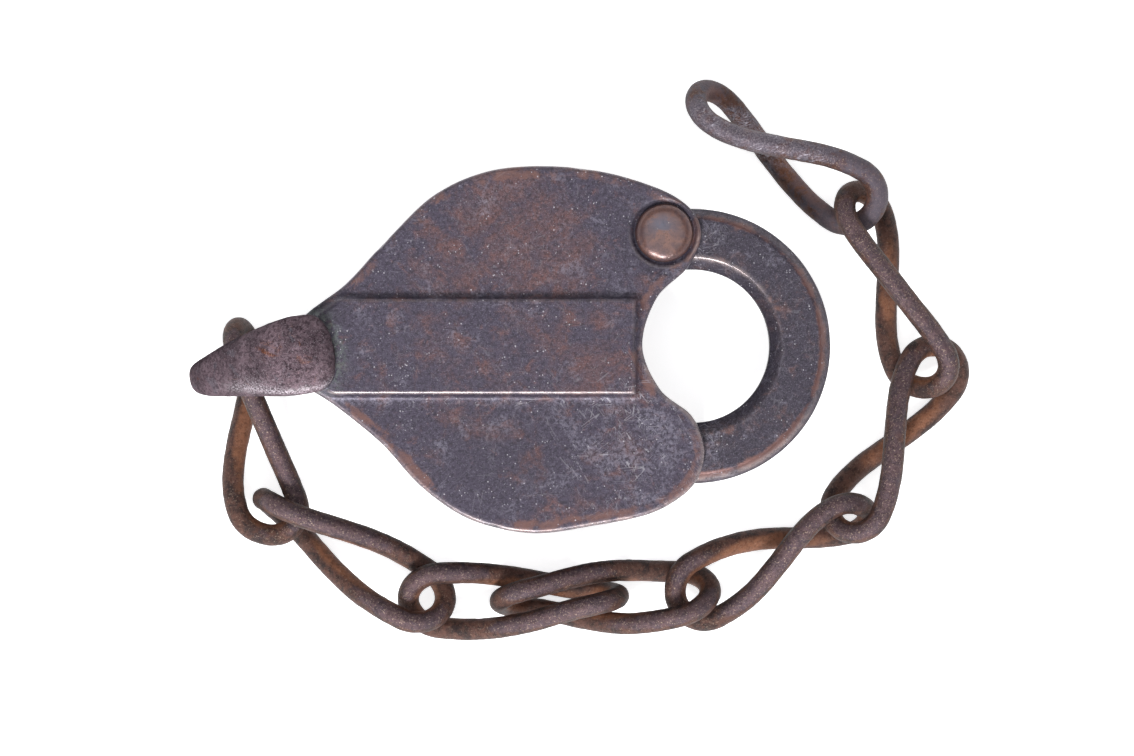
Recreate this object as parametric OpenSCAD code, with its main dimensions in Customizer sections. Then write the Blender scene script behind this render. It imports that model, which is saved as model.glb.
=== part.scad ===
// A heart-shaped railway switch padlock with a swivelling bow and a hand-twisted chain.
// It lies on its keyhole side: +Z points out of the plain face, +X towards the shackle.

/* [Case] */
// Thickness of the case, from the back face to the front face
case_t = 21; // [20.6:0.1:23]
// Height of the parting line between the two castings
parting_z = 12.5; // [12.3:0.1:12.6]
// Width of the worn bevel around each face
case_bevel = 1.2; // [0.6:0.1:1.6]
// Thickness of the castings' side walls
wall_t = 2.8; // [2.4:0.1:3]
// Thickness of the back casting's floor
floor_t = 4.2; // [4:0.1:4.6]
// Height of the raised panel above the front face
panel_h = 1.2; // [0.8:0.1:1.4]

/* [Shackle] */
// Radius of the round eye inside the shackle
shackle_in_r = 12; // [11.5:0.1:12]
// Width of the flat bar, seen from the front
shackle_w = 9.5; // [8.9:0.1:9.6]
// Thickness of the flat bar
shackle_t = 6.5; // [5.8:0.1:6.5]
// Gap between the shackle and each casting
shackle_gap = 0.2; // [0.15:0.05:0.3]
// Radius of the round end on the pivot
shackle_eye_r = 5.5; // [5.2:0.1:5.6]
// Height of the pivot rivet's domed head
pivot_head_h = 1.4; // [1:0.1:1.6]

/* [Lock work] */
// Width of the bolt's bar
bolt_w = 3; // [2.6:0.1:3.2]
// Thickness of the bolt
bolt_t = 3; // [2.4:0.1:3.4]
// Radius of the drill pin that a barrel key fits over
drill_pin_r = 1.6; // [1.4:0.1:1.8]
// Radius of the keyhole's round end
keyhole_r = 3; // [2.8:0.1:3.2]

/* [Chain bow] */
// Width of the bow's front leg at its widest
bow_w = 12.5; // [11:0.5:12.5]
// Width of the bow's hidden leg
bow_back_w = 6.4; // [5.8:0.1:6.6]
// Radius of the bow's pin
bow_pin_r = 2.6; // [2.4:0.1:2.8]

/* [Chain] */
// Radius of the chain's wire
wire_r = 1.75; // [1.6:0.05:1.8]
// Length of a link's centre line, end to end
link_len = 33.25; // [33:0.05:33.5]
// Half the width of a link's centre line before it is twisted
link_half_w = 4.85; // [4.8:0.05:4.9]
// Sides of the wire's cross-section
wire_sides = 9; // [7:1:12]
// Rings of points around a link
link_rings = 48; // [40:2:56]

/* [Hidden] */
$fn = 48;
eps = 0.01;
fit_gap = 0.05;
free_gap = 0.3;

bronze = "#5c4a4c";
copper = "#8a6456";
iron = "#6e5d60";
rust = "#7a5646";
steel = "#77706c";

// The case's outline, anticlockwise from its point; a smooth curve runs through these
case_outline = [[-33.6, -1.5], [-31, -5.75], [-25.5, -9.5], [-18.5, -15.25], [-12, -22.25],
    [-4.25, -27.25], [5, -29.25], [15, -28], [24, -26], [30, -22], [32, -16.5], [30, -11],
    [25, -6.75], [22.25, 0], [24.5, 7.5], [29.5, 12.5], [31.5, 18], [28.25, 22.75],
    [20, 26.25], [10, 28], [-1, 27.5], [-10, 23.75], [-17.75, 16.5], [-24, 9.75], [-31, 4.25]];
outline_steps = 5;
cavity_left_x = -19;

// The panel runs on under the bow at its left end
panel = [[-34, -7.4], [21, 7.2]];
panel_slope = [1.2, 0.4];
panel_ledge = 0.3;

ring_x = 30.2;
pivot = [25.67, 17.67];
pivot_r = 2.8;
pivot_head_r = 4.6;
pivot_pocket_r = 5.05;
pivot_pocket_h = 0.5;
peen_r = 3.6;
peen_h = 1.2;
boss_r = 5.4;
shackle_z = parting_z + shackle_gap;
shackle_top = shackle_z + shackle_t;
skin_z = shackle_top + shackle_gap;
shackle_out_r = shackle_in_r + shackle_w;
toe_x = 14;
toe_slot = 3.5;
toe_reach = [29.4, 41.3];
neck_slot = [21.5, 11.75];

rivets = [[-14.5, 0.5], [6, 22.5], [0, -22.5]];
case_rivet_r = 1.6;
rivet_boss_r = 3.2;
rivet_depth = 17.5;

key = [8.5, -4];
tenon_r = 1;
tenon_h = 1;
key_slot_w = 2.4;
key_slot_len = 6.2;
drop_pivot = [17.5, -4];
drop_t = 1.4;
drop_r = 5.4;
drop_x = 7.5;
drop_eye_r = 3.2;
drop_pin_r = 1.2;
drop_swing = 60;
recess_h = 2;
plate_t = 0.8;
plate_area = [[-4, -8], [19, 8]];
ledge_r = 2.4;
ledges = [[-1.5, 5.5], [16.5, 5.5]];
bolt_z = parting_z + plate_t + 0.1;
bolt_x = 17.2;
bolt_tip_y = -shackle_in_r + 0.4;
bolt_arm = [[10.7, -1], [bolt_x, 3]];
talon = [[12, -1.5], [14.2, 0.6]];
keeper_t = 0.9;
keeper_y = [-7.5, -4.5];
spring_t = 0.5;
spring_from = [-1.5, 7.2];
spring_to = [14.5, 3.4];
spring_foot_r = 0.7;

bow_pin = [-28.4, -0.9];
bow_turn = 191;
bow_lift = 0.3;
bow_relief_r = 5.3;
bow_leg_top = case_t + panel_h + bow_lift;

wire_pinch = 0.15;
twist_ease = 0.75;
// Each link as it lies: x and y of its middle, heading, roll at its start, twist, bend, sway, tilt
links = [
    [-38.75, -13.5, -79, 106, -102, -0.8, 0.6, -1],
    [-23.5, -33, -32, 87, -120, -0.3, 0, 0],
    [2, -40, 1, 32, -114, -0.5, 0, 1],
    [16.5, -39.5, 3, 76, -128, -0.2, 0.3, 0],
    [42.75, -33, 26, 13, -140, 1, -0.3, 0],
    [62.25, -14.75, 60, -32, -125, 0.3, 0, -8],
    [62, 9, 113, -29, -102, 0.3, 0.6, 0],
    [44.75, 30.25, 146, -14, -110, 0.8, -0.3, -2]];

// ---- Outlines ----

// A point of a closed list, counted round past its ends
function around(list, i) = list[(i + len(list)) % len(list)];

// A point on the smooth curve between list[i] and the next point, at t from 0 to 1
function curve_point(list, i, t) =
    let (a = around(list, i - 1), b = around(list, i), c = around(list, i + 1), d = around(list, i + 2))
    0.5 * (2 * b + (c - a) * t + (2 * a - 5 * b + 4 * c - d) * t * t + (3 * b - a - 3 * c + d) * t * t * t);

function curve(list, steps) =
    [for (i = [0:len(list) - 1], s = [0:steps - 1]) curve_point(list, i, s / steps)];

// The same outline, moved inwards by d
function inset(list, d) =
    [for (i = [0:len(list) - 1])
        let (along = around(list, i + 1) - around(list, i - 1))
        list[i] + d * [-along.y, along.x] / norm(along)];

function lift(list, z) = [for (p = list) [p.x, p.y, z]];

// An arc of points, from one angle to another
function arc(centre, r, from, to, steps) =
    [for (i = [0:steps]) let (a = from + (to - from) * i / steps) centre + r * [cos(a), sin(a)]];

case_curve = curve(case_outline, outline_steps);

// A closed solid through a stack of rings that have the same number of points
module stack(rings) {
    n = len(rings[0]);
    top = len(rings) - 1;
    polyhedron(
        points = [for (ring = rings) each ring],
        faces = [
            [for (i = [0:n - 1]) i],
            [for (i = [n - 1:-1:0]) top * n + i],
            for (r = [0:top - 1], i = [0:n - 1])
                let (j = (i + 1) % n)
                each [[r * n + i, (r + 1) * n + i, (r + 1) * n + j], [r * n + i, (r + 1) * n + j, r * n + j]]],
        convexity = 6);
}

// A ring that takes the edge off a block of the case's outline, whose top is at z = 0
module edge_ring(bevel) {
    over = 0.5;
    n = len(case_curve);
    rings = [
        lift(inset(case_curve, -over), -bevel - over),
        lift(inset(case_curve, -over), over),
        lift(inset(case_curve, bevel + over), over)];
    polyhedron(
        points = [for (ring = rings) each ring],
        faces = [for (i = [0:n - 1], r = [0:2])
            let (j = (i + 1) % n, up = (r + 1) % 3)
            each [[r * n + i, up * n + i, up * n + j], [r * n + i, up * n + j, r * n + j]]],
        convexity = 8);
}

// ---- Case ----

module cavity_area() {
    intersection() {
        polygon(inset(case_curve, wall_t));
        translate([cavity_left_x, -40]) square([60, 80]);
    }
}

module rivet_places() {
    for (p = rivets) translate(p) children();
}

// What the toe of the shackle sweeps as it swings out about the pivot
module toe_area() {
    intersection() {
        translate(pivot) difference() {
            circle(toe_reach[1], $fn = 96);
            circle(toe_reach[0], $fn = 96);
        }
        translate([toe_x - free_gap, -40]) square([40, 40]);
    }
}

module neck_area() {
    translate(neck_slot) square([20, 20]);
    translate(pivot) circle(shackle_eye_r + free_gap);
}

module panel_body() {
    high = case_t + panel_h;
    left = panel[0].x;
    bottom = panel[0].y;
    right = panel[1].x;
    top = panel[1].y;
    dy = panel_slope.y;
    intersection() {
        stack([
            lift([[left, bottom], [right + panel_slope.x, bottom], [right + panel_slope.x, top], [left, top]],
                case_t - eps),
            lift([[left, bottom + dy], [right, bottom + dy], [right, top - dy], [left, top - dy]], high)]);
        linear_extrude(high + 1) polygon(inset(case_curve, case_bevel + panel_ledge));
    }
}

module case_front() {
    color(bronze) difference() {
        union() {
            difference() {
                translate([0, 0, parting_z]) linear_extrude(case_t - parting_z) polygon(case_curve);
                translate([0, 0, case_t]) edge_ring(case_bevel);
            }
            panel_body();
        }
        translate([0, 0, parting_z - eps]) linear_extrude(skin_z - parting_z + eps) union() {
            difference() {
                cavity_area();
                rivet_places() circle(rivet_boss_r);
            }
            toe_area();
            neck_area();
        }
        rivet_places() translate([0, 0, parting_z - eps]) cylinder(r = case_rivet_r, h = rivet_depth - parting_z);
        translate(pivot) cylinder(r = pivot_r, h = case_t + 1);
        translate([pivot.x, pivot.y, case_t - pivot_pocket_h]) cylinder(r = pivot_pocket_r, h = 5);
        translate([key.x, key.y, skin_z - eps]) cylinder(r = tenon_r, h = tenon_h + 0.1);
        translate(bow_pin) cylinder(r = bow_pin_r + fit_gap, h = case_t + 5);
    }
}

module drop_shape(grow) {
    reach = drop_pivot.x - drop_x;
    big = drop_r + grow;
    small = drop_eye_r + grow;
    lean = acos((big - small) / reach);
    polygon(concat(arc([-reach, 0], big, lean, 360 - lean, 24), arc([0, 0], small, -lean, lean, 12)));
}

module keyhole_shape() {
    circle(keyhole_r);
    translate([-key_slot_len, -key_slot_w / 2]) square([key_slot_len, key_slot_w]);
}

module case_back() {
    recess_r = drop_pivot.x - drop_x + drop_r + free_gap / 2;
    color(bronze) difference() {
        linear_extrude(parting_z) polygon(case_curve);
        mirror([0, 0, 1]) edge_ring(case_bevel * 0.7);
        translate([0, 0, floor_t]) linear_extrude(parting_z) difference() {
            cavity_area();
            rivet_places() circle(rivet_boss_r);
            translate(pivot) circle(boss_r);
            for (p = ledges) translate(p) circle(ledge_r);
        }
        // shallow recess that the drop lies and swings in
        translate([drop_pivot.x, drop_pivot.y, -eps]) linear_extrude(recess_h + eps) union() {
            drop_shape(free_gap);
            rotate(drop_swing) drop_shape(free_gap);
            intersection() {
                circle(recess_r);
                polygon([[0, 0], [-30, 0], 40 * [cos(180 + drop_swing / 2), sin(180 + drop_swing / 2)],
                    40 * [cos(180 + drop_swing), sin(180 + drop_swing)]]);
            }
        }
        translate([key.x, key.y, 0]) linear_extrude(floor_t + 1) keyhole_shape();
        translate([drop_pivot.x, drop_pivot.y, 0]) cylinder(r = drop_pin_r, h = floor_t + 1);
        rivet_places() {
            translate([0, 0, -eps]) cylinder(r = case_rivet_r, h = parting_z + 1);
            translate([0, 0, -eps]) cylinder(r1 = case_rivet_r + 1, r2 = case_rivet_r, h = 1);
        }
        translate([pivot.x, pivot.y, -eps]) cylinder(r = pivot_r, h = parting_z + 1);
        translate([pivot.x, pivot.y, -eps]) cylinder(r1 = peen_r, r2 = pivot_r, h = peen_h);
        // the hidden side is cut back around the point for the bow's back leg
        translate([bow_pin.x, bow_pin.y, -eps]) linear_extrude(floor_t + eps)
            polygon(concat(arc([0, 0], bow_relief_r, -90, 90, 12), [[-10, bow_relief_r + 6], [-10, -bow_relief_r - 6]]));
        translate([bow_pin.x, bow_pin.y, -eps]) cylinder(r = bow_pin_r + fit_gap, h = parting_z + 1);
    }
}

module case_rivets() {
    color(bronze) rivet_places() rotate_extrude() polygon([[0, 0.1], [case_rivet_r + 0.9, 0.1],
        [case_rivet_r, 1], [case_rivet_r, rivet_depth - 0.2], [0, rivet_depth - 0.2]]);
}

// ---- Shackle ----

module bar_section() {
    r = shackle_in_r;
    out = shackle_out_r;
    polygon([[r + 0.8, shackle_z], [out - 1, shackle_z], [out, shackle_z + 1], [out, shackle_top - 1.2],
        [out - 1.4, shackle_top], [r + 2, shackle_top], [r, shackle_top - 1.5], [r, shackle_z + 0.8]]);
}

module straight_bar(from_x) {
    translate([from_x, 0, 0]) rotate([90, 0, 90]) linear_extrude(ring_x - from_x) bar_section();
}

module shackle() {
    notch_w = bolt_w + 2 * free_gap;
    color(bronze) difference() {
        union() {
            translate([ring_x, 0, 0]) rotate([0, 0, -90]) rotate_extrude(angle = 180, $fn = 96) bar_section();
            straight_bar(pivot.x);
            mirror([0, 1, 0]) straight_bar(toe_x);
            translate([pivot.x, pivot.y, shackle_z]) cylinder(r = shackle_eye_r, h = shackle_t);
        }
        translate([pivot.x, pivot.y, shackle_z - 1]) cylinder(r = pivot_r + fit_gap, h = shackle_t + 2);
        translate([bolt_x - notch_w / 2, -shackle_in_r - toe_slot, shackle_z - 1])
            cube([notch_w, toe_slot + 1, shackle_t + 2]);
    }
}

module pivot_rivet() {
    seat = case_t - pivot_pocket_h;
    crown = seat + pivot_head_h;
    color(copper) translate(pivot) rotate_extrude() polygon([[0, 0.1], [peen_r - 0.1, 0.1], [pivot_r, peen_h],
        [pivot_r, seat], [pivot_head_r, seat], [pivot_head_r, crown - 0.8],
        [pivot_head_r - 0.35, crown - 0.35], [pivot_head_r - 1, crown - 0.05], [0, crown]]);
}

// ---- Lock work ----

module lock_plate() {
    color(steel) translate([0, 0, parting_z]) linear_extrude(plate_t) difference() {
        translate(plate_area[0]) square(plate_area[1] - plate_area[0]);
        translate(key) keyhole_shape();
        for (p = rivets) translate(p) circle(rivet_boss_r + free_gap);
    }
}

module bolt() {
    color(steel) translate([0, 0, bolt_z]) linear_extrude(bolt_t) difference() {
        union() {
            translate([bolt_x - bolt_w / 2, bolt_tip_y]) square([bolt_w, bolt_arm[1].y - bolt_tip_y]);
            translate(bolt_arm[0]) square(bolt_arm[1] - bolt_arm[0]);
        }
        translate(talon[0]) square(talon[1] - talon[0]);
    }
}

module bolt_keeper() {
    inner = bolt_w + 0.2;
    inner_top = bolt_t + 0.2;
    foot = parting_z + plate_t;
    color(steel) translate([bolt_x, keeper_y[1], foot]) rotate([90, 0, 0]) linear_extrude(keeper_y[1] - keeper_y[0])
        difference() {
            translate([-inner / 2 - keeper_t, 0]) square([inner + 2 * keeper_t, inner_top + keeper_t]);
            translate([-inner / 2, -1]) square([inner, inner_top + 1]);
        }
}

module bolt_spring() {
    along = spring_to - spring_from;
    side = spring_t * [-along.y, along.x] / norm(along);
    foot = parting_z + plate_t;
    color(steel) {
        translate([0, 0, bolt_z]) linear_extrude(bolt_t)
            polygon([spring_from, spring_to, spring_to + side, spring_from + side]);
        translate([spring_from.x, spring_from.y, foot]) cylinder(r = spring_foot_r, h = bolt_z + bolt_t - foot);
    }
}

module drill_pin() {
    foot = recess_h + 0.2;
    color(steel) translate([key.x, key.y, foot]) {
        cylinder(r = drill_pin_r, h = skin_z - foot);
        cylinder(r = tenon_r, h = skin_z + tenon_h - foot);
    }
}

module ward_ring() {
    color(bronze) translate([key.x, key.y, floor_t]) rotate([0, 0, 200]) rotate_extrude(angle = 320)
        translate([keyhole_r + 0.6, 0]) square([1, 2.5]);
}

module keyhole_drop() {
    color(bronze) translate([drop_pivot.x, drop_pivot.y, free_gap]) linear_extrude(drop_t) difference() {
        drop_shape(0);
        circle(drop_pin_r + fit_gap);
    }
}

module drop_rivet() {
    color(copper) translate(drop_pivot) translate([0, 0, 0.05]) cylinder(r = drop_pin_r, h = floor_t - 0.05);
}

// ---- Bow ----

// The strap from the side: u runs from the pin to the bend, z up
bow_side_out = concat(
    [[-3, 0.4], [1.5, 0.4], [5.2, 0.9], [9.3, 4.9], [14.5, 5.1]],
    arc([16, 10.4], 4.9, -55, 40, 8),
    [[16.6, 18.2], [12, 21.8], [8.5, 24.1]],
    arc([5.5, 19.3], 6, 64, 90, 3),
    arc([-1.9, 23.8], 1.5, 90, 180, 4),
    [[-3.4, bow_leg_top]]);
bow_side_in = concat(
    [[-4, 3.2], [1.5, 3.2], [5.3, 3.4], [9.1, 7.2], [13.4, 7.4]],
    arc([14.4, 10.4], 2.8, -60, 50, 6),
    [[10, 18.6], [6.6, bow_leg_top], [-4, bow_leg_top]]);
// The strap from the front: u to the bend, w across
bow_plan = concat(
    arc([-0.2, -bow_w / 2 + 3.2], 3.2, 180, 275, 6),
    [[6, -bow_w / 2 + 0.2], [12, -5.3], [17, -4.2]],
    arc([17.6, 0], 3.3, -70, 70, 8),
    [[17, 4.2], [12, 5.3], [6, bow_w / 2 - 0.2]],
    arc([-0.2, bow_w / 2 - 3.2], 3.2, 85, 180, 6));

module on_bow() {
    translate(bow_pin) rotate([0, 0, bow_turn]) children();
}

module chain_bow() {
    color(iron) on_bow() difference() {
        intersection() {
            translate([0, bow_w, 0]) rotate([90, 0, 0]) linear_extrude(2 * bow_w) difference() {
                polygon(bow_side_out);
                polygon(bow_side_in);
            }
            union() {
                translate([0, 0, 10]) linear_extrude(20) polygon(bow_plan);
                linear_extrude(10) intersection() {
                    polygon(bow_plan);
                    translate([-10, -bow_back_w / 2]) square([40, bow_back_w]);
                }
            }
        }
        cylinder(r = bow_pin_r, h = bow_leg_top + 1.4);
    }
}

module bow_rivet() {
    color(iron) translate([bow_pin.x, bow_pin.y, 0.5]) cylinder(r = bow_pin_r, h = bow_leg_top + 0.8);
}

// ---- Chain ----

// A link's flat centre line before twisting, at s from 0 to 1 around it
function flat_link(s) =
    let (
        half = link_len / 2 - link_half_w,
        round_len = PI * link_half_w,
        total = 4 * half + 2 * round_len,
        d = s * total,
        raw = d < 2 * half ? [d - half, link_half_w]
            : d < 2 * half + round_len
                ? let (a = (d - 2 * half) / link_half_w * 180 / PI)
                    [half + link_half_w * sin(a), link_half_w * cos(a)]
            : d < 4 * half + round_len ? [3 * half + round_len - d, -link_half_w]
            : let (a = (d - 4 * half - round_len) / link_half_w * 180 / PI)
                [-half - link_half_w * sin(a), -link_half_w * cos(a)],
        pinch = max(0, cos(90 * max(-1, min(1, raw.x / half)))))
    [raw.x, raw.y * (1 - wire_pinch * pinch * pinch)];

// A point of the twisted, bent and tilted centre line about the link's own middle,
// and the direction square to the flat loop there
function twisted(row, s) =
    let (
        p = flat_link(s),
        t = p.x / link_len + 0.5,
        turn = row[3] + row[4] * (t - twist_ease * sin(360 * t) / (2 * PI)),
        v = p.y * cos(turn) + row[5] * (sin(180 * t) - 0.5) + row[6] * sin(360 * t),
        z = p.y * sin(turn))
    [tilted(row, [p.x, v, z]), tilted(row, [0, -sin(turn), cos(turn)])];

function tilted(row, p) =
    [p.x * cos(row[7]) - p.z * sin(row[7]), p.y, p.x * sin(row[7]) + p.z * cos(row[7])];

function headed(row, p) =
    [p.x * cos(row[2]) - p.y * sin(row[2]), p.x * sin(row[2]) + p.y * cos(row[2]), p.z];

// The link as it lies, its lowest point on the surface: points and their square directions
function link_line(row) =
    let (
        raw = [for (i = [0:link_rings - 1]) twisted(row, i / link_rings)],
        low = min([for (r = raw) r[0].z]))
    [for (r = raw) [headed(row, r[0]) + [row[0], row[1], wire_r - low], headed(row, r[1])]];

// A closed round wire along a link's line
module wire(line) {
    n = len(line);
    rings = [for (i = [0:n - 1])
        let (
            along = around(line, i + 1)[0] - around(line, i - 1)[0],
            a = cross(along, line[i][1]),
            b = cross(a, along))
        [for (k = [0:wire_sides - 1])
            let (angle = 360 * k / wire_sides)
            line[i][0] + wire_r * (cos(angle) * a / norm(a) + sin(angle) * b / norm(b))]];
    polyhedron(
        points = [for (ring = rings) each ring],
        faces = [for (i = [0:n - 1], k = [0:wire_sides - 1])
            let (next = (i + 1) % n, side = (k + 1) % wire_sides)
            each [
                [i * wire_sides + k, next * wire_sides + side, next * wire_sides + k],
                [i * wire_sides + k, i * wire_sides + side, next * wire_sides + side]]],
        convexity = 8);
}

module chain_link(number) {
    color(rust) wire(link_line(links[number - 1]));
}

case_front();
case_back();
case_rivets();
pivot_rivet();
shackle();
lock_plate();
bolt();
bolt_keeper();
bolt_spring();
drill_pin();
ward_ring();
keyhole_drop();
drop_rivet();
chain_bow();
bow_rivet();
chain_link(1);  // chain_link_1
chain_link(2);  // chain_link_2
chain_link(3);  // chain_link_3
chain_link(4);  // chain_link_4
chain_link(5);  // chain_link_5
chain_link(6);  // chain_link_6
chain_link(7);  // chain_link_7
chain_link(8);  // chain_link_8
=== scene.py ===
"""A heart-shaped railway switch padlock, with its bow and hand-twisted chain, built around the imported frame.

A piece is built in millimetres and turned into metres when it is settled. The studio is in metres.
"""

import logging
import math
from dataclasses import dataclass
from enum import Enum

import bmesh
import bpy
import numpy as np
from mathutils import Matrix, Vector, geometry, kdtree, noise

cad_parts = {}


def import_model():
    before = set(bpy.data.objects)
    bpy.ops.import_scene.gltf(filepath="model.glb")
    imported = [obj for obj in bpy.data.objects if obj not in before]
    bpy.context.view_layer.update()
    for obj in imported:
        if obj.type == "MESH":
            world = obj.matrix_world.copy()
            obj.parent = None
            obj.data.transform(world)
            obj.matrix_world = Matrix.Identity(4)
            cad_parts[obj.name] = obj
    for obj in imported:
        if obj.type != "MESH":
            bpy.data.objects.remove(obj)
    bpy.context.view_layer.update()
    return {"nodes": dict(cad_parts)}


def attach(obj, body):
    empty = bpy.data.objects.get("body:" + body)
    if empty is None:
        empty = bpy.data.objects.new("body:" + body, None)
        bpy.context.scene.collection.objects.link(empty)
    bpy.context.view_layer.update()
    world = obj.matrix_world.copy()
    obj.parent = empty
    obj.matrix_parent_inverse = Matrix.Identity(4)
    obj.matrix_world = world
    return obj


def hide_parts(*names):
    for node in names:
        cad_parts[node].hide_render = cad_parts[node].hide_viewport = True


LOG = logging.getLogger("padlock")
MM = 0.001
WHITE = (1.0, 1.0, 1.0, 1.0)

CASE_OUTLINE = (
    (-33.6, -1.5), (-31, -5.75), (-25.5, -9.5), (-18.5, -15.25), (-12, -22.25),
    (-4.25, -27.25), (5, -29.25), (15, -28), (24, -26), (30, -22), (32, -16.5), (30, -11),
    (25, -6.75), (22.25, 0), (24.5, 7.5), (29.5, 12.5), (31.5, 18), (28.25, 22.75),
    (20, 26.25), (10, 28), (-1, 27.5), (-10, 23.75), (-17.75, 16.5), (-24, 9.75), (-31, 4.25),
)
PARTING_Z = 12.5
PIVOT = (25.67, 17.67)
BOW_PIN = (-28.4, -0.9)
BOW_TURN = 191.0
CASE_RIVETS = ((-14.5, 0.5), (6.0, 22.5), (0.0, -22.5))
PANEL_LOW_Y = -7.4
PANEL_HIGH_Y = 7.2
PANEL_END_X = 21.0
# Each link as it lies: x and y of its middle, heading, roll at its start, twist, bend, sway, tilt
LINKS = (
    (-38.75, -13.5, -79, 106, -102, -0.8, 0.6, -1),
    (-23.5, -33, -32, 87, -120, -0.3, 0, 0),
    (2, -40, 1, 32, -114, -0.5, 0, 1),
    (16.5, -39.5, 3, 76, -128, -0.2, 0.3, 0),
    (42.75, -33, 26, 13, -140, 1, -0.3, 0),
    (62.25, -14.75, 60, -32, -125, 0.3, 0, -8),
    (62, 9, 113, -29, -102, 0.3, 0.6, 0),
    (44.75, 30.25, 146, -14, -110, 0.8, -0.3, -2),
)


class Operation(Enum):
    """How one solid changes another."""

    JOIN = "UNION"
    CUT = "DIFFERENCE"


class Slot(Enum):
    """The record's material slots."""

    BRONZE = "bronze"
    COPPER = "copper"
    FORGED_IRON = "forged_iron"
    RUSTY_IRON = "rusty_iron"
    STEEL = "steel"


# ---- Shapes ----


def smooth_loop(controls: np.ndarray, steps: int) -> np.ndarray:
    """Runs a smooth closed curve through a list of points.

    Args:
        controls: the points, one row each.
        steps: how many points each stretch gets.

    Returns:
        The curve's points.
    """
    a, b, c, d = (np.roll(controls, shift, axis=0)[:, None, :] for shift in (1, 0, -1, -2))
    t = (np.arange(steps) / steps)[None, :, None]
    cubic = 2 * b + (c - a) * t + (2 * a - 5 * b + 4 * c - d) * t**2 + (3 * b - a - 3 * c + d) * t**3
    return (0.5 * cubic).reshape(-1, controls.shape[1])


def smooth_line(controls: np.ndarray, steps: int) -> np.ndarray:
    """Runs a smooth open curve through a list of points.

    Args:
        controls: the points, one row each.
        steps: how many points each stretch gets.

    Returns:
        The curve's points, both ends included.
    """
    ends = np.vstack([2 * controls[0] - controls[1], controls, 2 * controls[-1] - controls[-2]])
    a, b, c, d = (ends[i : len(ends) - 3 + i, None, :] for i in range(4))
    t = (np.arange(steps) / steps)[None, :, None]
    cubic = 2 * b + (c - a) * t + (2 * a - 5 * b + 4 * c - d) * t**2 + (3 * b - a - 3 * c + d) * t**3
    return np.vstack([(0.5 * cubic).reshape(-1, controls.shape[1]), controls[-1]])


def arc(centre: tuple[float, float], radius: float, start: float, end: float, steps: int) -> np.ndarray:
    """Gives the points of an arc.

    Args:
        centre: the arc's centre.
        radius: its radius.
        start: its first angle, in degrees.
        end: its last angle, in degrees.
        steps: how many chords it gets.

    Returns:
        The points, one row each.
    """
    angles = np.radians(np.linspace(start, end, steps + 1))
    return np.array(centre) + radius * np.stack([np.cos(angles), np.sin(angles)], axis=1)


def rounded(corners: tuple[tuple[float, float, float], ...], steps: int = 5) -> np.ndarray:
    """Rounds the corners of an outline.

    Args:
        corners: for each corner its two coordinates and the radius of its rounding.
        steps: how many chords each rounding gets.

    Returns:
        The outline's points.
    """
    places = np.array([corner[:2] for corner in corners], float)
    points = []
    for i, (_, _, radius) in enumerate(corners):
        here = places[i]
        back = places[i - 1] - here
        ahead = places[(i + 1) % len(corners)] - here
        back_dir, ahead_dir = back / np.linalg.norm(back), ahead / np.linalg.norm(ahead)
        half = math.acos(np.clip(back_dir @ ahead_dir, -1, 1)) / 2
        reach = min(radius / math.tan(half), 0.48 * np.linalg.norm(back), 0.48 * np.linalg.norm(ahead))
        for s in np.linspace(0, 1, steps + 1):
            from_back = here + back_dir * reach * (1 - s)
            to_ahead = here + ahead_dir * reach * s
            points.append((1 - s) * from_back + s * to_ahead)
    return np.array(points)


def divided(loop: np.ndarray, step: float) -> np.ndarray:
    """Adds points to a closed outline, so that no stretch is longer than step.

    Args:
        loop: the outline's points.
        step: the longest stretch that is left.

    Returns:
        The outline's points, with the new ones among them.
    """
    points = []
    for here, ahead in zip(loop, np.roll(loop, -1, axis=0)):
        count = max(1, math.ceil(np.linalg.norm(ahead - here) / step))
        points += [here + (ahead - here) * i / count for i in range(count)]
    return np.array(points)


def ramp(values: np.ndarray, low: float, high: float) -> np.ndarray:
    """Goes smoothly from 0 at low to 1 at high."""
    share = np.clip((values - low) / (high - low), 0, 1)
    return share * share * (3 - 2 * share)


def fade(distance: np.ndarray, width: float) -> np.ndarray:
    """Gives 1 at a distance of 0, and less and less beyond, over about a width."""
    return np.exp(-((distance / width) ** 2))


def ripple(points: np.ndarray, size: float, octaves: int = 1, shift: float = 0.0) -> np.ndarray:
    """Gives smooth unevenness, about -1 to 1, at each point.

    Args:
        points: the points, three numbers each.
        size: how large its bumps are.
        octaves: how many finer layers it has.
        shift: moves it, so that two pieces differ.

    Returns:
        One number for each point.
    """
    scaled = points / size + shift
    return np.array([noise.fractal(Vector(p), 1.0, 2.0, octaves) for p in scaled])


def within(points: np.ndarray, loop: np.ndarray) -> np.ndarray:
    """Tells which points lie inside a closed outline.

    Args:
        points: the points, two numbers each.
        loop: the outline's points.

    Returns:
        True or False for each point.
    """
    odd = np.zeros(len(points), bool)
    x, y = points.T
    for (x0, y0), (x1, y1) in zip(loop, np.roll(loop, -1, axis=0)):
        if y0 != y1:
            crosses = (y0 > y) != (y1 > y)
            odd ^= crosses & (x < x0 + (y - y0) * (x1 - x0) / (y1 - y0))
    return odd


def solid(name: str, points: np.ndarray, faces: list[tuple[int, ...]]) -> bpy.types.Object:
    """Makes a closed mesh whose faces look outwards.

    Args:
        name: the object's name.
        points: its points, three numbers each.
        faces: lists of point numbers.

    Returns:
        The object, in millimetres.
    """
    mesh = bpy.data.meshes.new(name)
    mesh.from_pydata([tuple(p) for p in points], [], faces)
    form = bmesh.new()
    form.from_mesh(mesh)
    bmesh.ops.recalc_face_normals(form, faces=form.faces)
    form.to_mesh(mesh)
    form.free()
    obj = bpy.data.objects.new(name, mesh)
    bpy.context.scene.collection.objects.link(obj)
    return obj


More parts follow.
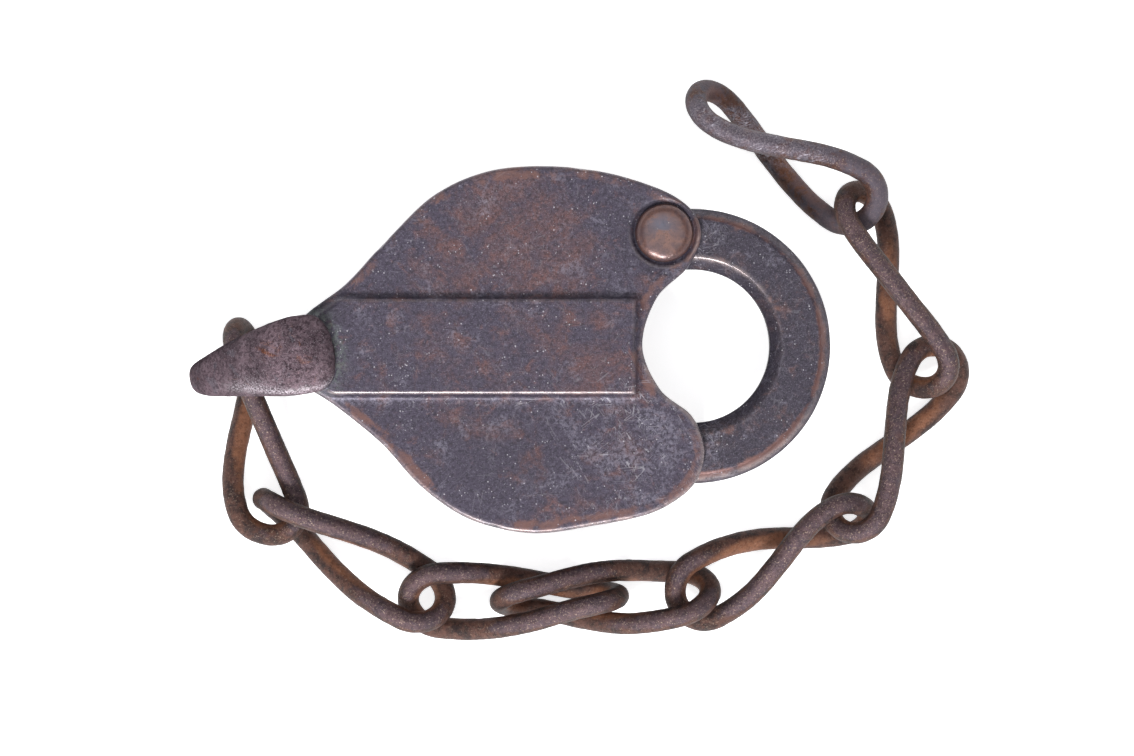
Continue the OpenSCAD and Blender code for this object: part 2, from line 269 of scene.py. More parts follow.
def prism(outline: np.ndarray, low: float, high: float) -> bpy.types.Object:
    """Makes an upright block of an outline, from height low to height high.

    Args:
        outline: its outline, seen from above.
        low: the height of its underside.
        high: the height of its top.

    Returns:
        The block, in millimetres.
    """
    count = len(outline)
    points = np.vstack([np.column_stack([outline, np.full(count, z)]) for z in (low, high)])
    sides = [(i, (i + 1) % count, count + (i + 1) % count, count + i) for i in range(count)]
    caps = [tuple(range(count)), tuple(range(2 * count - 1, count - 1, -1))]
    return solid("block", points, sides + caps)


def box_outline(low_x: float, low_y: float, high_x: float, high_y: float) -> np.ndarray:
    """Gives the corners of a rectangle that lies along x and y, anticlockwise."""
    return np.array([(low_x, low_y), (high_x, low_y), (high_x, high_y), (low_x, high_y)])


def column(centre: tuple[float, float], radius: float, low: float, high: float) -> bpy.types.Object:
    """Makes an upright round column."""
    return prism(arc(centre, radius, 0, 360, 64)[:-1], low, high)


def skin(rings: np.ndarray, closed: bool) -> list[tuple[int, ...]]:
    """Joins rings that have the same number of points.

    Args:
        rings: the rings, as an array of rings by points by coordinates.
        closed: whether the last ring meets the first; if not, both ends get a cap.

    Returns:
        The faces.
    """
    count, size = rings.shape[:2]
    faces = [
        (r * size + k, r * size + (k + 1) % size,
         ((r + 1) % count) * size + (k + 1) % size, ((r + 1) % count) * size + k)
        for r in range(count if closed else count - 1)
        for k in range(size)
    ]
    if not closed:
        faces += [tuple(range(size)), tuple(range((count - 1) * size, count * size))]
    return faces


def lathe(name: str, profile: np.ndarray, centre: tuple[float, float], steps: int) -> bpy.types.Object:
    """Turns a profile about an upright axis.

    Args:
        name: the object's name.
        profile: radius and height of each point, from the axis to the axis.
        centre: the axis.
        steps: how many stretches it has all round.

    Returns:
        The object, in millimetres.
    """
    rings = np.array([
        np.column_stack([arc(centre, max(radius, 0.01), 0, 360, steps)[:-1], np.full(steps, z)])
        for radius, z in profile
    ])
    return solid(name, rings.reshape(-1, 3), skin(rings, closed=False))


def change(target: bpy.types.Object, tool: bpy.types.Object, operation: Operation) -> None:
    """Cuts a solid with another or joins the other to it, and removes the other.

    Args:
        target: the solid that changes.
        tool: the solid that it changes by.
        operation: what happens.
    """
    modifier = target.modifiers.new("change", "BOOLEAN")
    modifier.operation = operation.value
    modifier.solver = "MANIFOLD"
    modifier.object = tool
    depsgraph = bpy.context.evaluated_depsgraph_get()
    changed = bpy.data.meshes.new_from_object(target.evaluated_get(depsgraph))
    target.modifiers.clear()
    before = target.data
    target.data = changed
    bpy.data.meshes.remove(before)
    bpy.data.objects.remove(tool)


def places(obj: bpy.types.Object) -> np.ndarray:
    """Gives the object's points, one row each.

    Args:
        obj: the object.

    Returns:
        Three numbers for each point.
    """
    flat = np.zeros(len(obj.data.vertices) * 3)
    obj.data.vertices.foreach_get("co", flat)
    return flat.reshape(-1, 3)


def directions(obj: bpy.types.Object) -> np.ndarray:
    """Gives the direction that the surface faces at each of the object's points.

    Args:
        obj: the object.

    Returns:
        Three numbers for each point.
    """
    flat = np.zeros(len(obj.data.vertices) * 3)
    obj.data.vertex_normals.foreach_get("vector", flat)
    return flat.reshape(-1, 3)


def move(obj: bpy.types.Object, points: np.ndarray) -> None:
    """Puts the object's points in new places."""
    obj.data.vertices.foreach_set("co", points.ravel())
    obj.data.update()


def mark(obj: bpy.types.Object, name: str, values: np.ndarray) -> None:
    """Stores a number for each point, which a finish reads by its name."""
    attribute = obj.data.attributes.new(name, "FLOAT", "POINT")
    attribute.data.foreach_set("value", np.clip(values, 0, 1).astype(np.float32))


def coat(obj: bpy.types.Object, material: bpy.types.Material) -> None:
    """Gives the whole object one material.

    Args:
        obj: the object.
        material: the material.
    """
    obj.data.materials.clear()
    obj.data.materials.append(material)
    obj.data.polygons.foreach_set("material_index", [0] * len(obj.data.polygons))


def settle(obj: bpy.types.Object, body: str, node: str, material: bpy.types.Material,
           sharp: float = 40.0) -> None:
    """Turns a finished piece into metres, coats it and ties it to the frame.

    Args:
        obj: the piece, in millimetres.
        body: the body that it moves with.
        node: the CAD node that it stands for.
        material: its finish.
        sharp: edges that turn by more than this, in degrees, stay crisp.
    """
    move(obj, places(obj) * MM)
    obj.data.polygons.foreach_set("use_smooth", [True] * len(obj.data.polygons))
    obj.data.set_sharp_from_angle(angle=math.radians(sharp))
    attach(obj, body)
    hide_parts(node)
    coat(obj, material)
    LOG.info("%s: %d faces, with %s", obj.name, len(obj.data.polygons), body)


# ---- Shading ----


def linear(colour: str) -> tuple[float, float, float, float]:
    """Turns a colour written as #rrggbb into Blender's linear numbers."""
    parts = [int(colour[i : i + 2], 16) / 255 for i in (1, 3, 5)]
    return (*[p / 12.92 if p <= 0.04045 else ((p + 0.055) / 1.055) ** 2.4 for p in parts], 1.0)


class Amount:
    """A number that varies over a surface. Python's operators build the nodes for its sums."""

    def __init__(self, nodes: "Nodes", socket: bpy.types.NodeSocket) -> None:
        """Wraps a socket of a node tree."""
        self.nodes = nodes
        self.socket = socket

    def __add__(self, other: "Amount | float") -> "Amount":
        """Adds."""
        return self.nodes.maths("ADD", self, other)

    __radd__ = __add__

    def __sub__(self, other: "Amount | float") -> "Amount":
        """Subtracts."""
        return self.nodes.maths("SUBTRACT", self, other)

    def __rsub__(self, other: float) -> "Amount":
        """Subtracts this from a number."""
        return self.nodes.maths("SUBTRACT", other, self)

    def __mul__(self, other: "Amount | float") -> "Amount":
        """Multiplies."""
        return self.nodes.maths("MULTIPLY", self, other)

    __rmul__ = __mul__

    def __abs__(self) -> "Amount":
        """Drops the sign."""
        return self.nodes.maths("ABSOLUTE", self, 0.0)

    def over(self, other: "Amount | float") -> "Amount":
        """Gives the larger of two."""
        return self.nodes.maths("MAXIMUM", self, other)

    def ramp(self, low: float, high: float) -> "Amount":
        """Goes smoothly from 0 at low to 1 at high; low may be the larger.

        Args:
            low: where it is 0.
            high: where it is 1.

        Returns:
            The new amount.
        """
        node = self.nodes.node(
            "ShaderNodeMapRange",
            {"interpolation_type": "SMOOTHSTEP"},
            {"Value": self, "From Min": low, "From Max": high},
        )
        return Amount(self.nodes, node.outputs["Result"])


class Nodes:
    """A node tree that grows one node at a time."""

    def __init__(self, tree: bpy.types.NodeTree) -> None:
        """Empties a tree, to fill it afresh."""
        self.tree = tree
        self.tree.nodes.clear()

    def node(self, kind: str, settings: dict[str, object],
             inputs: dict[str | int, object]) -> bpy.types.Node:
        """Adds a node.

        Args:
            kind: the node's type.
            settings: its own settings, which are set first.
            inputs: the value or link of each socket, by its name or number.

        Returns:
            The node.
        """
        node = self.tree.nodes.new(kind)
        for name, value in settings.items():
            setattr(node, name, value)
        for name, value in inputs.items():
            socket = node.inputs[name]
            if isinstance(value, Amount):
                self.tree.links.new(value.socket, socket)
            elif isinstance(value, bpy.types.NodeSocket):
                self.tree.links.new(value, socket)
            elif isinstance(value, str):
                socket.default_value = linear(value)
            else:
                socket.default_value = value
        return node

    def maths(self, operation: str, first: "Amount | float", second: "Amount | float") -> Amount:
        """Adds a Math node and gives its result."""
        node = self.node("ShaderNodeMath", {"operation": operation}, {0: first, 1: second})
        return Amount(self, node.outputs[0])

    def seen(self) -> Amount:
        """Gives 1 for the camera's, mirrored and refracted rays, and 0 for scattered light.

        Returns:
            The amount.
        """
        rays = self.node("ShaderNodeLightPath", {}, {}).outputs
        camera, mirrored, refracted = (
            Amount(self, rays[f"Is {kind} Ray"]) for kind in ("Camera", "Glossy", "Transmission")
        )
        return camera.over(mirrored).over(refracted)


class Surface(Nodes):
    """One material and its nodes."""

    def __init__(self, name: str) -> None:
        """Starts an empty material whose patterns are measured in millimetres on the object.

        Args:
            name: the material's name.
        """
        self.material = bpy.data.materials.new(name)
        self.material.use_nodes = True
        super().__init__(self.material.node_tree)
        metres = self.node("ShaderNodeTexCoord", {}, {}).outputs["Object"]
        scaled = self.node(
            "ShaderNodeVectorMath", {"operation": "SCALE"}, {"Vector": metres, "Scale": 1 / MM}
        )
        self.at = scaled.outputs[0]

    def mark(self, name: str) -> Amount:
        """Reads a number that is stored on the mesh."""
        node = self.node("ShaderNodeAttribute", {"attribute_type": "GEOMETRY", "attribute_name": name}, {})
        return Amount(self, node.outputs["Fac"])

    def clouds(self, size: float, detail: float = 3.0, rough: float = 0.6, warp: float = 0.0,
               at: bpy.types.NodeSocket | None = None) -> Amount:
        """Gives cloudy noise about 0.5.

        Args:
            size: the size of its patches, in millimetres.
            detail: how many finer layers it has.
            rough: how strong those are.
            warp: how far it is distorted.
            at: the coordinates, if not the object's own.

        Returns:
            The noise.
        """
        node = self.node("ShaderNodeTexNoise", {}, {
            "Vector": at or self.at, "Scale": 1 / size, "Detail": detail,
            "Roughness": rough, "Distortion": warp,
        })
        return Amount(self, node.outputs[0])

    def coordinates(self) -> tuple[Amount, Amount, Amount]:
        """Gives the three coordinates, in millimetres."""
        axes = self.node("ShaderNodeSeparateXYZ", {}, {"Vector": self.at})
        return Amount(self, axes.outputs[0]), Amount(self, axes.outputs[1]), Amount(self, axes.outputs[2])

    def dots(self, size: float, radius: float, share: float) -> Amount:
        """Scatters small round dots.

        Args:
            size: the width of the cell that may hold one dot, in millimetres.
            radius: a dot's radius, as a share of the cell.
            share: how many of the cells hold one, from 0 to 1.

        Returns:
            1 in a dot and 0 outside.
        """
        node = self.node("ShaderNodeTexVoronoi", {"feature": "F1"}, {"Vector": self.at, "Scale": 1 / size})
        near = Amount(self, node.outputs["Distance"]).ramp(radius, radius * 0.5)
        parts = self.node("ShaderNodeSeparateColor", {}, {"Color": node.outputs["Color"]})
        chosen = Amount(self, parts.outputs[0]).ramp(1 - share, 1 - share + 0.02)
        return near * chosen

    def scratches(self, angle: float, length: float, width: float, share: float) -> Amount:
        """Draws thin broken lines.

        Args:
            angle: their direction in degrees.
            length: about how long they are, in millimetres.
            width: how far apart they wander, in millimetres.
            share: how thick and frequent they are, as a share of the noise.

        Returns:
            1 on a line and 0 outside.
        """
        turned = self.node("ShaderNodeMapping", {"vector_type": "TEXTURE"}, {
            "Vector": self.at, "Rotation": (0, 0, math.radians(angle)), "Scale": (length, width, width * 3),
        })
        lines = abs(self.clouds(1.0, 0.0, 0.4, 0.0, turned.outputs[0]) - 0.5).ramp(share, share * 0.3)
        return lines * self.clouds(2.0 + width, 3.0).ramp(0.52, 0.58)

    def mix(self, factor: "Amount | float", first: object, second: object,
            blend: str = "MIX") -> bpy.types.NodeSocket:
        """Mixes two colours.

        Args:
            factor: 0 for the first colour and 1 for the second.
            first: a colour or a socket.
            second: a colour or a socket.
            blend: the Mix node's way of blending.

        Returns:
            The mixed colour.
        """
        node = self.node("ShaderNodeMix", {"data_type": "RGBA", "blend_type": blend},
                         {0: factor, 6: first, 7: second})
        return node.outputs[2]

    def close(self, colour: bpy.types.NodeSocket, roughness: Amount, metallic: "Amount | float",
              height: Amount, depth: float, film: "Amount | float" = 0.0,
              gleam: float = 0.5) -> bpy.types.Material:
        """Ends the material.

        Args:
            colour: its base colour.
            roughness: its roughness.
            metallic: how metallic it is.
            height: the height of its fine relief, from 0 to 1.
            depth: what a height of 1 is, in millimetres.
            film: how strong its thin clear film is, from wax and handling.
            gleam: how strongly its uncoated surface mirrors.

        Returns:
            The material.
        """
        bump = self.node("ShaderNodeBump", {}, {"Height": height, "Distance": depth * MM, "Strength": 1.0})
        shader = self.node("ShaderNodeBsdfPrincipled", {}, {
            "Base Color": colour, "Roughness": roughness, "Metallic": metallic, "Normal": bump.outputs[0],
            "Coat Weight": film, "Coat Roughness": 0.24, "Specular IOR Level": gleam,
        })
        self.node("ShaderNodeOutputMaterial", {}, {"Surface": shader.outputs[0]})
        return self.material


@dataclass(frozen=True)
class Bronze:
    """Cast bronze with a dark patina: slate and red-brown patches, rubbed brown at its edges, with painted
    highlights on its lit edges and painted shade in its creases and hollows.
    """

    name: str = "patinated_bronze"
    slate: str = "#423b4b"
    brown: str = "#574248"
    red: str = "#694642"
    ash: str = "#7f7b8a"
    rubbed: str = "#6b4841"
    bare_metal_and_painted_highlight: str = "#b3a19e"
    painted_shade: str = "#221f28"
    speck: str = "#b8b5bd"
    verdigris: str = "#66706a"

    def panel_edge_highlight(self, s: Surface) -> Amount:
        """Gives a pale worn line along the panel's own edges, on the front only, strongest along the lower
        edge as a painted highlight.

        Args:
            s: the material that is being built.

        Returns:
            The amount.
        """
        x, y, z = s.coordinates()
        outside = (x - PANEL_END_X).over(y - PANEL_HIGH_Y).over(PANEL_LOW_Y - y)
        # Strongest along the lower edge, which faces the key lamp: a painted highlight.
        strong = 0.25 + 0.75 * y.ramp(-6.5, -7.2)
        return abs(outside + 0.1).ramp(0.35, 0.1) * z.ramp(21.5, 22.0) * strong

    def scuffs(self, s: Surface) -> Amount:
        """Gives a tangle of fine scratches in several directions.

        Args:
            s: the material that is being built.

        Returns:
            1 on a scratch and 0 outside.
        """
        lines = s.scratches(35, 14, 1.1, 0.012)
        for angle, length, width in ((-50, 10, 0.9), (80, 8, 0.9), (5, 18, 1.2), (120, 8, 0.9)):
            lines = lines.over(s.scratches(angle, length, width, 0.012))
        return lines

    def make(self, with_panel: bool = False) -> bpy.types.Material:
        """Builds the material.

        Args:
            with_panel: whether the piece has the raised panel, whose edges get a pale worn line, with a
                painted highlight along the lower one.

        Returns:
            The material.
        """
        s = Surface(self.name + ("_panel" if with_panel else ""))
        fine = s.clouds(0.22, 3, 0.8)
        grain = s.clouds(0.6, 5, 0.75, 0.3)
        mottle = s.clouds(2.4, 5, 0.7, 0.5)
        patches = s.clouds(11.0, 4, 0.6, 0.8)
        warmth = patches * 0.6 + mottle * 0.4 + s.mark("warm") * 0.13
        colour = s.mix(warmth.ramp(0.48, 0.66), self.slate, self.brown)
        reddish = (warmth * 0.4 + mottle * 0.6 + (fine - 0.5) * 0.35).ramp(0.54, 0.66)
        colour = s.mix(reddish * 0.6, colour, self.red)
        # Scuffs, paler and more scratched; on the shackle's necks the paleness is also painted light.
        worn = s.mark("scuffs_and_painted_light")
        pale = (s.clouds(5.0, 5, 0.75, 0.5) + worn * 0.12).ramp(0.52, 0.68) * grain.ramp(0.35, 0.65)
        colour = s.mix(pale * 0.55, colour, self.ash)
        colour = s.mix(grain.ramp(0.56, 0.38) * 0.6, colour, s.mix(1.0, colour, "#727078", "MULTIPLY"))
        colour = s.mix(fine.ramp(0.52, 0.68) * 0.45, colour, self.ash)
        edge = s.mark("wear_and_painted_light") + (patches - 0.5) * 1.7 + (mottle - 0.5) * 0.9 + (fine - 0.5) * 0.4
        edge = edge.ramp(0.42, 0.8)
        colour = s.mix(edge * 0.75, colour, self.rubbed)
        # Painted shade where the piece marks it; it darkens and roughens the surface.
        deep = s.mark("painted_shade")
        # Pale worn edges, which are also painted highlights where the piece weights them towards the key lamp.
        worn_crest_and_painted_highlight = s.mark("worn_crest_and_painted_highlight")
        if with_panel:
            worn_crest_and_painted_highlight = worn_crest_and_painted_highlight.over(self.panel_edge_highlight(s) * 0.9)
        worn_crest_and_painted_highlight = worn_crest_and_painted_highlight * (1 - deep)
        colour = s.mix(worn_crest_and_painted_highlight * (0.15 + 0.3 * mottle.ramp(0.35, 0.6)), colour, self.bare_metal_and_painted_highlight)
        colour = s.mix(deep * (0.75 + 0.5 * (grain - 0.5)), colour, self.painted_shade)
        green = s.mark("verdigris") * s.clouds(0.7, 4, 0.75).ramp(0.42, 0.6)
        colour = s.mix(green * 0.6, colour, self.verdigris)
        crowd = s.clouds(3.5, 3, 0.7)
        specks = s.dots(0.85, 0.18, 0.35) * crowd.ramp(0.44, 0.58)
        specks = specks.over(s.dots(0.42, 0.3, 0.3) * crowd.ramp(0.52, 0.62))
        lines = self.scuffs(s) * (0.1 + 0.5 * worn)
        marks = specks.over(lines)
        colour = s.mix(marks * 0.75, colour, self.speck)
        shiny = (edge * 0.4 * (1 - deep)).over(worn_crest_and_painted_highlight)
        roughness = (0.43 + 0.3 * (fine - 0.5) + 0.2 * (mottle - 0.5)
                     - 0.17 * shiny + 0.25 * deep + 0.1 * worn)
        height = 0.45 * grain + 0.3 * mottle + 0.2 * fine + 0.2 * marks
        return s.close(colour, roughness, 0.5, height, 0.13, 0.06 + 0.6 * shiny)


@dataclass(frozen=True)
class Copper:
    """The pivot rivet's rubbed copper-brown head, with a grey-blue patch on top and painted shade at its foot.
    """

    name: str = "rubbed_copper"
    warm: str = "#6d4d45"
    dark: str = "#543e40"
    deep: str = "#41302f"
    grey: str = "#4f5060"
    pale: str = "#c9bdb4"

    def make(self) -> bpy.types.Material:
        """Builds the material.

        Returns:
            The material.
        """
        s = Surface(self.name)
        grain = s.clouds(0.3, 4, 0.7)
        mottle = s.clouds(1.6, 4, 0.6, 0.4)
        colour = s.mix(mottle.ramp(0.35, 0.65), self.warm, self.dark)
        colour = s.mix(grain.ramp(0.5, 0.35) * 0.6, colour, self.deep)
        colour = s.mix(s.mark("stain") * mottle.ramp(0.3, 0.5) * 0.9, colour, self.grey)
        # Painted shade at the foot of the head.
        colour = s.mix(s.mark("painted_shade") * 0.7, colour, self.deep)
        colour = s.mix(s.dots(0.6, 0.14, 0.25) * 0.7, colour, self.pale)
        roughness = 0.33 + 0.2 * (grain - 0.5) + 0.2 * (mottle - 0.5)
        return s.close(colour, roughness, 0.5, 0.5 * grain + 0.5 * mottle, 0.06, 0.5)


@dataclass(frozen=True)
class ForgedIron:
    """The bow's dark forged iron: purple-grey, finely pitted, with a few rust spots, painted glints, a painted
    highlight and painted shade.
    """

    name: str = "forged_iron"
    base: str = "#77656d"
    dark: str = "#3b3137"
    rust: str = "#74452f"
    blue: str = "#62656f"
    bare_metal_and_painted_highlight: str = "#c4bac2"
    painted_dark_shade: str = "#33221c"

    def make(self) -> bpy.types.Material:
        """Builds the material.

        Returns:
            The material.
        """
        s = Surface(self.name)
        fine = s.clouds(0.26, 3, 0.8)
        grain = s.clouds(0.55, 4, 0.75)
        mottle = s.clouds(4.0, 6, 0.7, 0.3)
        colour = s.mix(mottle.ramp(0.35, 0.65) * 0.8, self.base, self.dark)
        colour = s.mix(s.clouds(3.1, 4, 0.6, 0.4).ramp(0.58, 0.66) * 0.4, colour, self.blue)
        spots = (s.clouds(3.4, 3, 0.6, 0.8) + (fine - 0.5) * 0.5).ramp(0.6, 0.74)
        colour = s.mix(spots * 0.8, colour, self.rust)
        colour = s.mix(grain.ramp(0.55, 0.4) * 0.7, colour, s.mix(1.0, colour, "#7c777c", "MULTIPLY"))
        # Painted glints all over, and a painted highlight where the bow marks its lit side.
        painted_glints = fine.ramp(0.53, 0.7) * 0.3 + fine.ramp(0.42, 0.6) * s.mark("wear_and_painted_light") * 0.8
        colour = s.mix(painted_glints, colour, self.bare_metal_and_painted_highlight)
        # Painted shade: darker and duller where the bow marks it, and darkest where it marks deeper shade.
        painted_dark_shade = s.mark("painted_dark_shade")
        colour = s.mix(painted_dark_shade * 0.4, colour, self.dark)
        colour = s.mix(s.mark("painted_shade") * 0.7, colour, self.painted_dark_shade)
        roughness = 0.37 + 0.5 * (fine - 0.5) + 0.2 * (mottle - 0.5) - 0.1 * s.mark("wear_and_painted_light") + 0.25 * painted_dark_shade
        return s.close(colour, roughness, 0.55 - 0.5 * painted_dark_shade, 0.5 * grain + 0.6 * fine + 0.3 * mottle, 0.22,
                       0.5 * s.mark("wear_and_painted_light"), 0.0)


@dataclass(frozen=True)
class RustyIron:
    """The chain's iron: brown rust, orange on the links' inner sides, grey on top from wear and painted light,
    and painted shade on the wires' sides.
    """

    name: str = "rusty_iron"
    brown: str = "#5c4038"
    dark: str = "#302424"
    orange: str = "#885b44"
    grey: str = "#5b4d55"
    tan: str = "#c4ad99"
    slate: str = "#5d5965"
    bright: str = "#a9a3ae"
    painted_dark_shade: str = "#2a1e1a"

    def make(self, polished: bool = False) -> bpy.types.Material:
        """Builds the material.

        Args:
            polished: whether the link has rubbed places that shine.

        Returns:
            The material.
        """
        s = Surface(self.name + ("_polished" if polished else ""))
        fine = s.clouds(0.28, 3, 0.8)
        grain = s.clouds(0.6, 4, 0.75)
        mottle = s.clouds(2.0, 5, 0.7, 0.4)
        patches = s.clouds(8.0, 4, 0.6, 0.5)
        colour = s.mix(mottle.ramp(0.4, 0.64), self.brown, self.dark)
        inner = (s.mark("inner") * 0.85 + (mottle - 0.5) * 0.9 + (patches - 0.5) * 2.0).ramp(0.3, 0.9)
        colour = s.mix(inner * 0.85, colour, self.orange)
        # Grey on the wires' tops: wear, and also painted light where the tops face the lamps.
        top = (s.mark("wear_and_painted_light") * 0.9 + (patches - 0.5) * 1.4 + (mottle - 0.5) * 0.6).ramp(0.35, 0.75)
        colour = s.mix(top * 0.65, colour, self.grey)
        colour = s.mix(grain.ramp(0.55, 0.35) * 0.5, colour, s.mix(1.0, colour, "#7c7672", "MULTIPLY"))
        # Pale specks, more of them on the tops as painted glints.
        colour = s.mix(fine.ramp(0.55, 0.7) * (0.2 + 0.45 * s.mark("wear_and_painted_light")), colour, self.tan)
        shiny = top
        if polished:
            colour = s.mix((patches + mottle).ramp(0.85, 1.05) * 0.5, colour, self.slate)
            shiny = (s.mark("polish") + (mottle - 0.5) * 1.2 + (fine - 0.5) * 0.5).ramp(0.25, 0.8)
            glint = (0.12 + 1.6 * (fine - 0.5)).over(0.0)
            shine = shiny * glint + s.scratches(20, 4, 0.5, 0.03) * shiny * 0.7
            colour = s.mix(shine, colour, self.bright)
        # Painted shade in the dents and on the wires' sides and undersides.
        colour = s.mix(s.mark("painted_shade") * 0.8, colour, self.painted_dark_shade)
        roughness = 0.55 + 0.4 * (fine - 0.5) - 0.14 * shiny
        height = 0.5 * grain + 0.5 * fine + 0.3 * mottle
        return s.close(colour, roughness, 0.25 + 0.3 * shiny, height, 0.24, 0.0, 0.25)


@dataclass(frozen=True)
class LockSteel:
    """The hidden lock work's dull steel."""

    name: str = "lock_steel"
    base: str = "#77706c"
    dark: str = "#4d4644"

    def make(self) -> bpy.types.Material:
        """Builds the material.

        Returns:
            The material.
        """
        s = Surface(self.name)
        grain = s.clouds(0.3, 3, 0.7)
        mottle = s.clouds(1.5, 4, 0.6, 0.3)
        colour = s.mix(mottle.ramp(0.4, 0.65), self.base, self.dark)
        return s.close(colour, 0.4 + 0.3 * (grain - 0.5), 0.8, grain, 0.03)


# ---- Case ----


class Outline:
    """The case's smooth outline, seen from the front."""

    def __init__(self, steps: int = 20) -> None:
        """Runs the curve through the outline's points, anticlockwise.

        Args:
            steps: how many points each stretch between two of them gets.
        """
        self.line = smooth_loop(np.array(CASE_OUTLINE, float), steps)
        along = np.roll(self.line, -1, axis=0) - np.roll(self.line, 1, axis=0)
        self.inward = np.column_stack([-along[:, 1], along[:, 0]]) / np.linalg.norm(along, axis=1)[:, None]
        self.tree = kdtree.KDTree(len(self.line))
        for i, (x, y) in enumerate(self.line):
            self.tree.insert((x, y, 0), i)
        self.tree.balance()

    def inset(self, depth: float) -> np.ndarray:
        """Gives the outline moved inwards."""
        return self.line + depth * self.inward

    def depth(self, xy: np.ndarray) -> np.ndarray:
        """Gives how far inside the outline each point lies; outside it is negative."""
        nearest = np.array([self.tree.find((x, y, 0))[1] for x, y in xy])
        return np.einsum("ij,ij->i", xy - self.line[nearest], self.inward[nearest])


@dataclass
class Casting:
    """One half of the case: a face, its worn edge, a side wall and a flat side at the parting line."""

    outline: Outline
    name: str
    node: str
    face: float
    side: float
    edge_r: float
    grid: float
    wall_t: float = 2.8
    floor_z: float = 19.4
    cavity_left_x: float = -19.0
    rivet_boss_r: float = 3.2
    bow_bore_r: float = 2.65
    uneven: float = 0.05
    edge_steps: int = 7
    flat_rings: tuple[float, ...] = (0.3, 0.7)

    def relief(self, xy: np.ndarray, depth: np.ndarray) -> np.ndarray:
        """Gives how far the face stands above its plane at each point."""
        return np.zeros(len(xy))

    def face_rings(self) -> list[np.ndarray]:
        """Gives the rings of points over the worn edge, from the wall's top inwards.

        Returns:
            The rings, each with its points' three coordinates.
        """
        rings = []
        for angle in np.linspace(0, math.pi / 2, self.edge_steps):
            rings.append((self.edge_r * (1 - math.cos(angle)), self.edge_r * (1 - math.sin(angle))))
        rings += [(self.edge_r + more, 0.0) for more in self.flat_rings]
        lines = []
        for depth, drop in rings:
            xy = self.outline.inset(depth)
            rise = self.relief(xy, np.full(len(xy), depth)) - drop
            lines.append(np.column_stack([xy, self.face + self.side * rise]))
        return lines

    def wall_rings(self) -> list[np.ndarray]:
        """Gives the rings of points down the side wall to the parting line.

        Returns:
            The rings, each with its points' three coordinates.
        """
        top = self.face - self.side * self.edge_r
        levels = [(0.0, z) for z in np.linspace(top, PARTING_Z + self.side * 0.3, 10)[1:]]
        levels += [(0.04, PARTING_Z + self.side * 0.12), (0.16, PARTING_Z)]
        return [
            np.column_stack([self.outline.inset(depth), np.full(len(self.outline.line), z)])
            for depth, z in levels
        ]

    def inner_face(self, border: np.ndarray) -> tuple[np.ndarray, list[tuple[int, ...]]]:
        """Fills the face inside its innermost ring.

        Args:
            border: the ring's points.

        Returns:
            The added points, and the faces, which count the ring's points first.
        """
        low, high = border[:, :2].min(axis=0), border[:, :2].max(axis=0)
        xs = np.arange(math.floor(low[0]), high[0], self.grid)
        ys = np.arange(math.floor(low[1]), high[1], self.grid)
        grid = np.stack(np.meshgrid(xs, ys), axis=-1).reshape(-1, 2)
        depth = self.outline.depth(grid)
        keep = depth > self.edge_r + self.flat_rings[-1] + self.grid * 0.6
        grid, depth = grid[keep], depth[keep]
        flat = np.vstack([border[:, :2], grid])
        made = geometry.delaunay_2d_cdt(
            [Vector(p) for p in flat], [], [list(range(len(border)))], 1, 1e-6, True
        )
        source = [origins[0] for origins in made[3]]
        faces = np.array([[source[i] for i in face] for face in made[2]])
        on_border = (faces < len(border)).all(axis=1)
        kept = ~on_border | within(flat[faces].mean(axis=1), border[:, :2])
        faces = [tuple(face) for face in faces[kept].tolist()]
        inner = np.column_stack([grid, self.face + self.side * self.relief(grid, depth)])
        return inner, faces

    def shell(self) -> bpy.types.Object:
        """Builds the closed solid, before anything is cut out of it.

        Returns:
            The piece, in millimetres.
        """
        face = self.face_rings()
        rings = np.array(face[::-1] + self.wall_rings())
        count, size = rings.shape[:2]
        inner, inner_faces = self.inner_face(face[-1])
        sides = skin(rings, closed=False)[:-2]
        last = tuple(range((count - 1) * size, count * size))
        shifted = [tuple(i if i < size else i + (count - 1) * size for i in f) for f in inner_faces]
        return solid(self.name, np.vstack([rings.reshape(-1, 3), inner]), sides + shifted + [last])

    def roughen(self, obj: bpy.types.Object) -> None:
        """Makes the cast surface a little uneven.

        Args:
            obj: the casting, in millimetres.
        """
        points = places(obj)
        lumps = 0.6 * ripple(points, 7.0, 2, self.face) + 0.4 * ripple(points, 1.6, 2, 3.0)
        calm = 1 - ramp(np.abs(points[:, 2] - PARTING_Z), 0.6, 0.2)
        move(obj, points + directions(obj) * (self.uneven * lumps * calm)[:, None])

    def corner(self, points: np.ndarray, depth: np.ndarray) -> np.ndarray:
        """Gives the distance of each point from the edge between face and wall.

        Args:
            points: the points, three numbers each.
            depth: how far inside the outline each lies.

        Returns:
            One number for each point.
        """
        below = np.maximum(self.side * (self.face - points[:, 2]) - self.edge_r * 0.5, 0)
        inside = np.maximum(depth - self.edge_r * 0.5, 0)
        return np.hypot(below, inside)


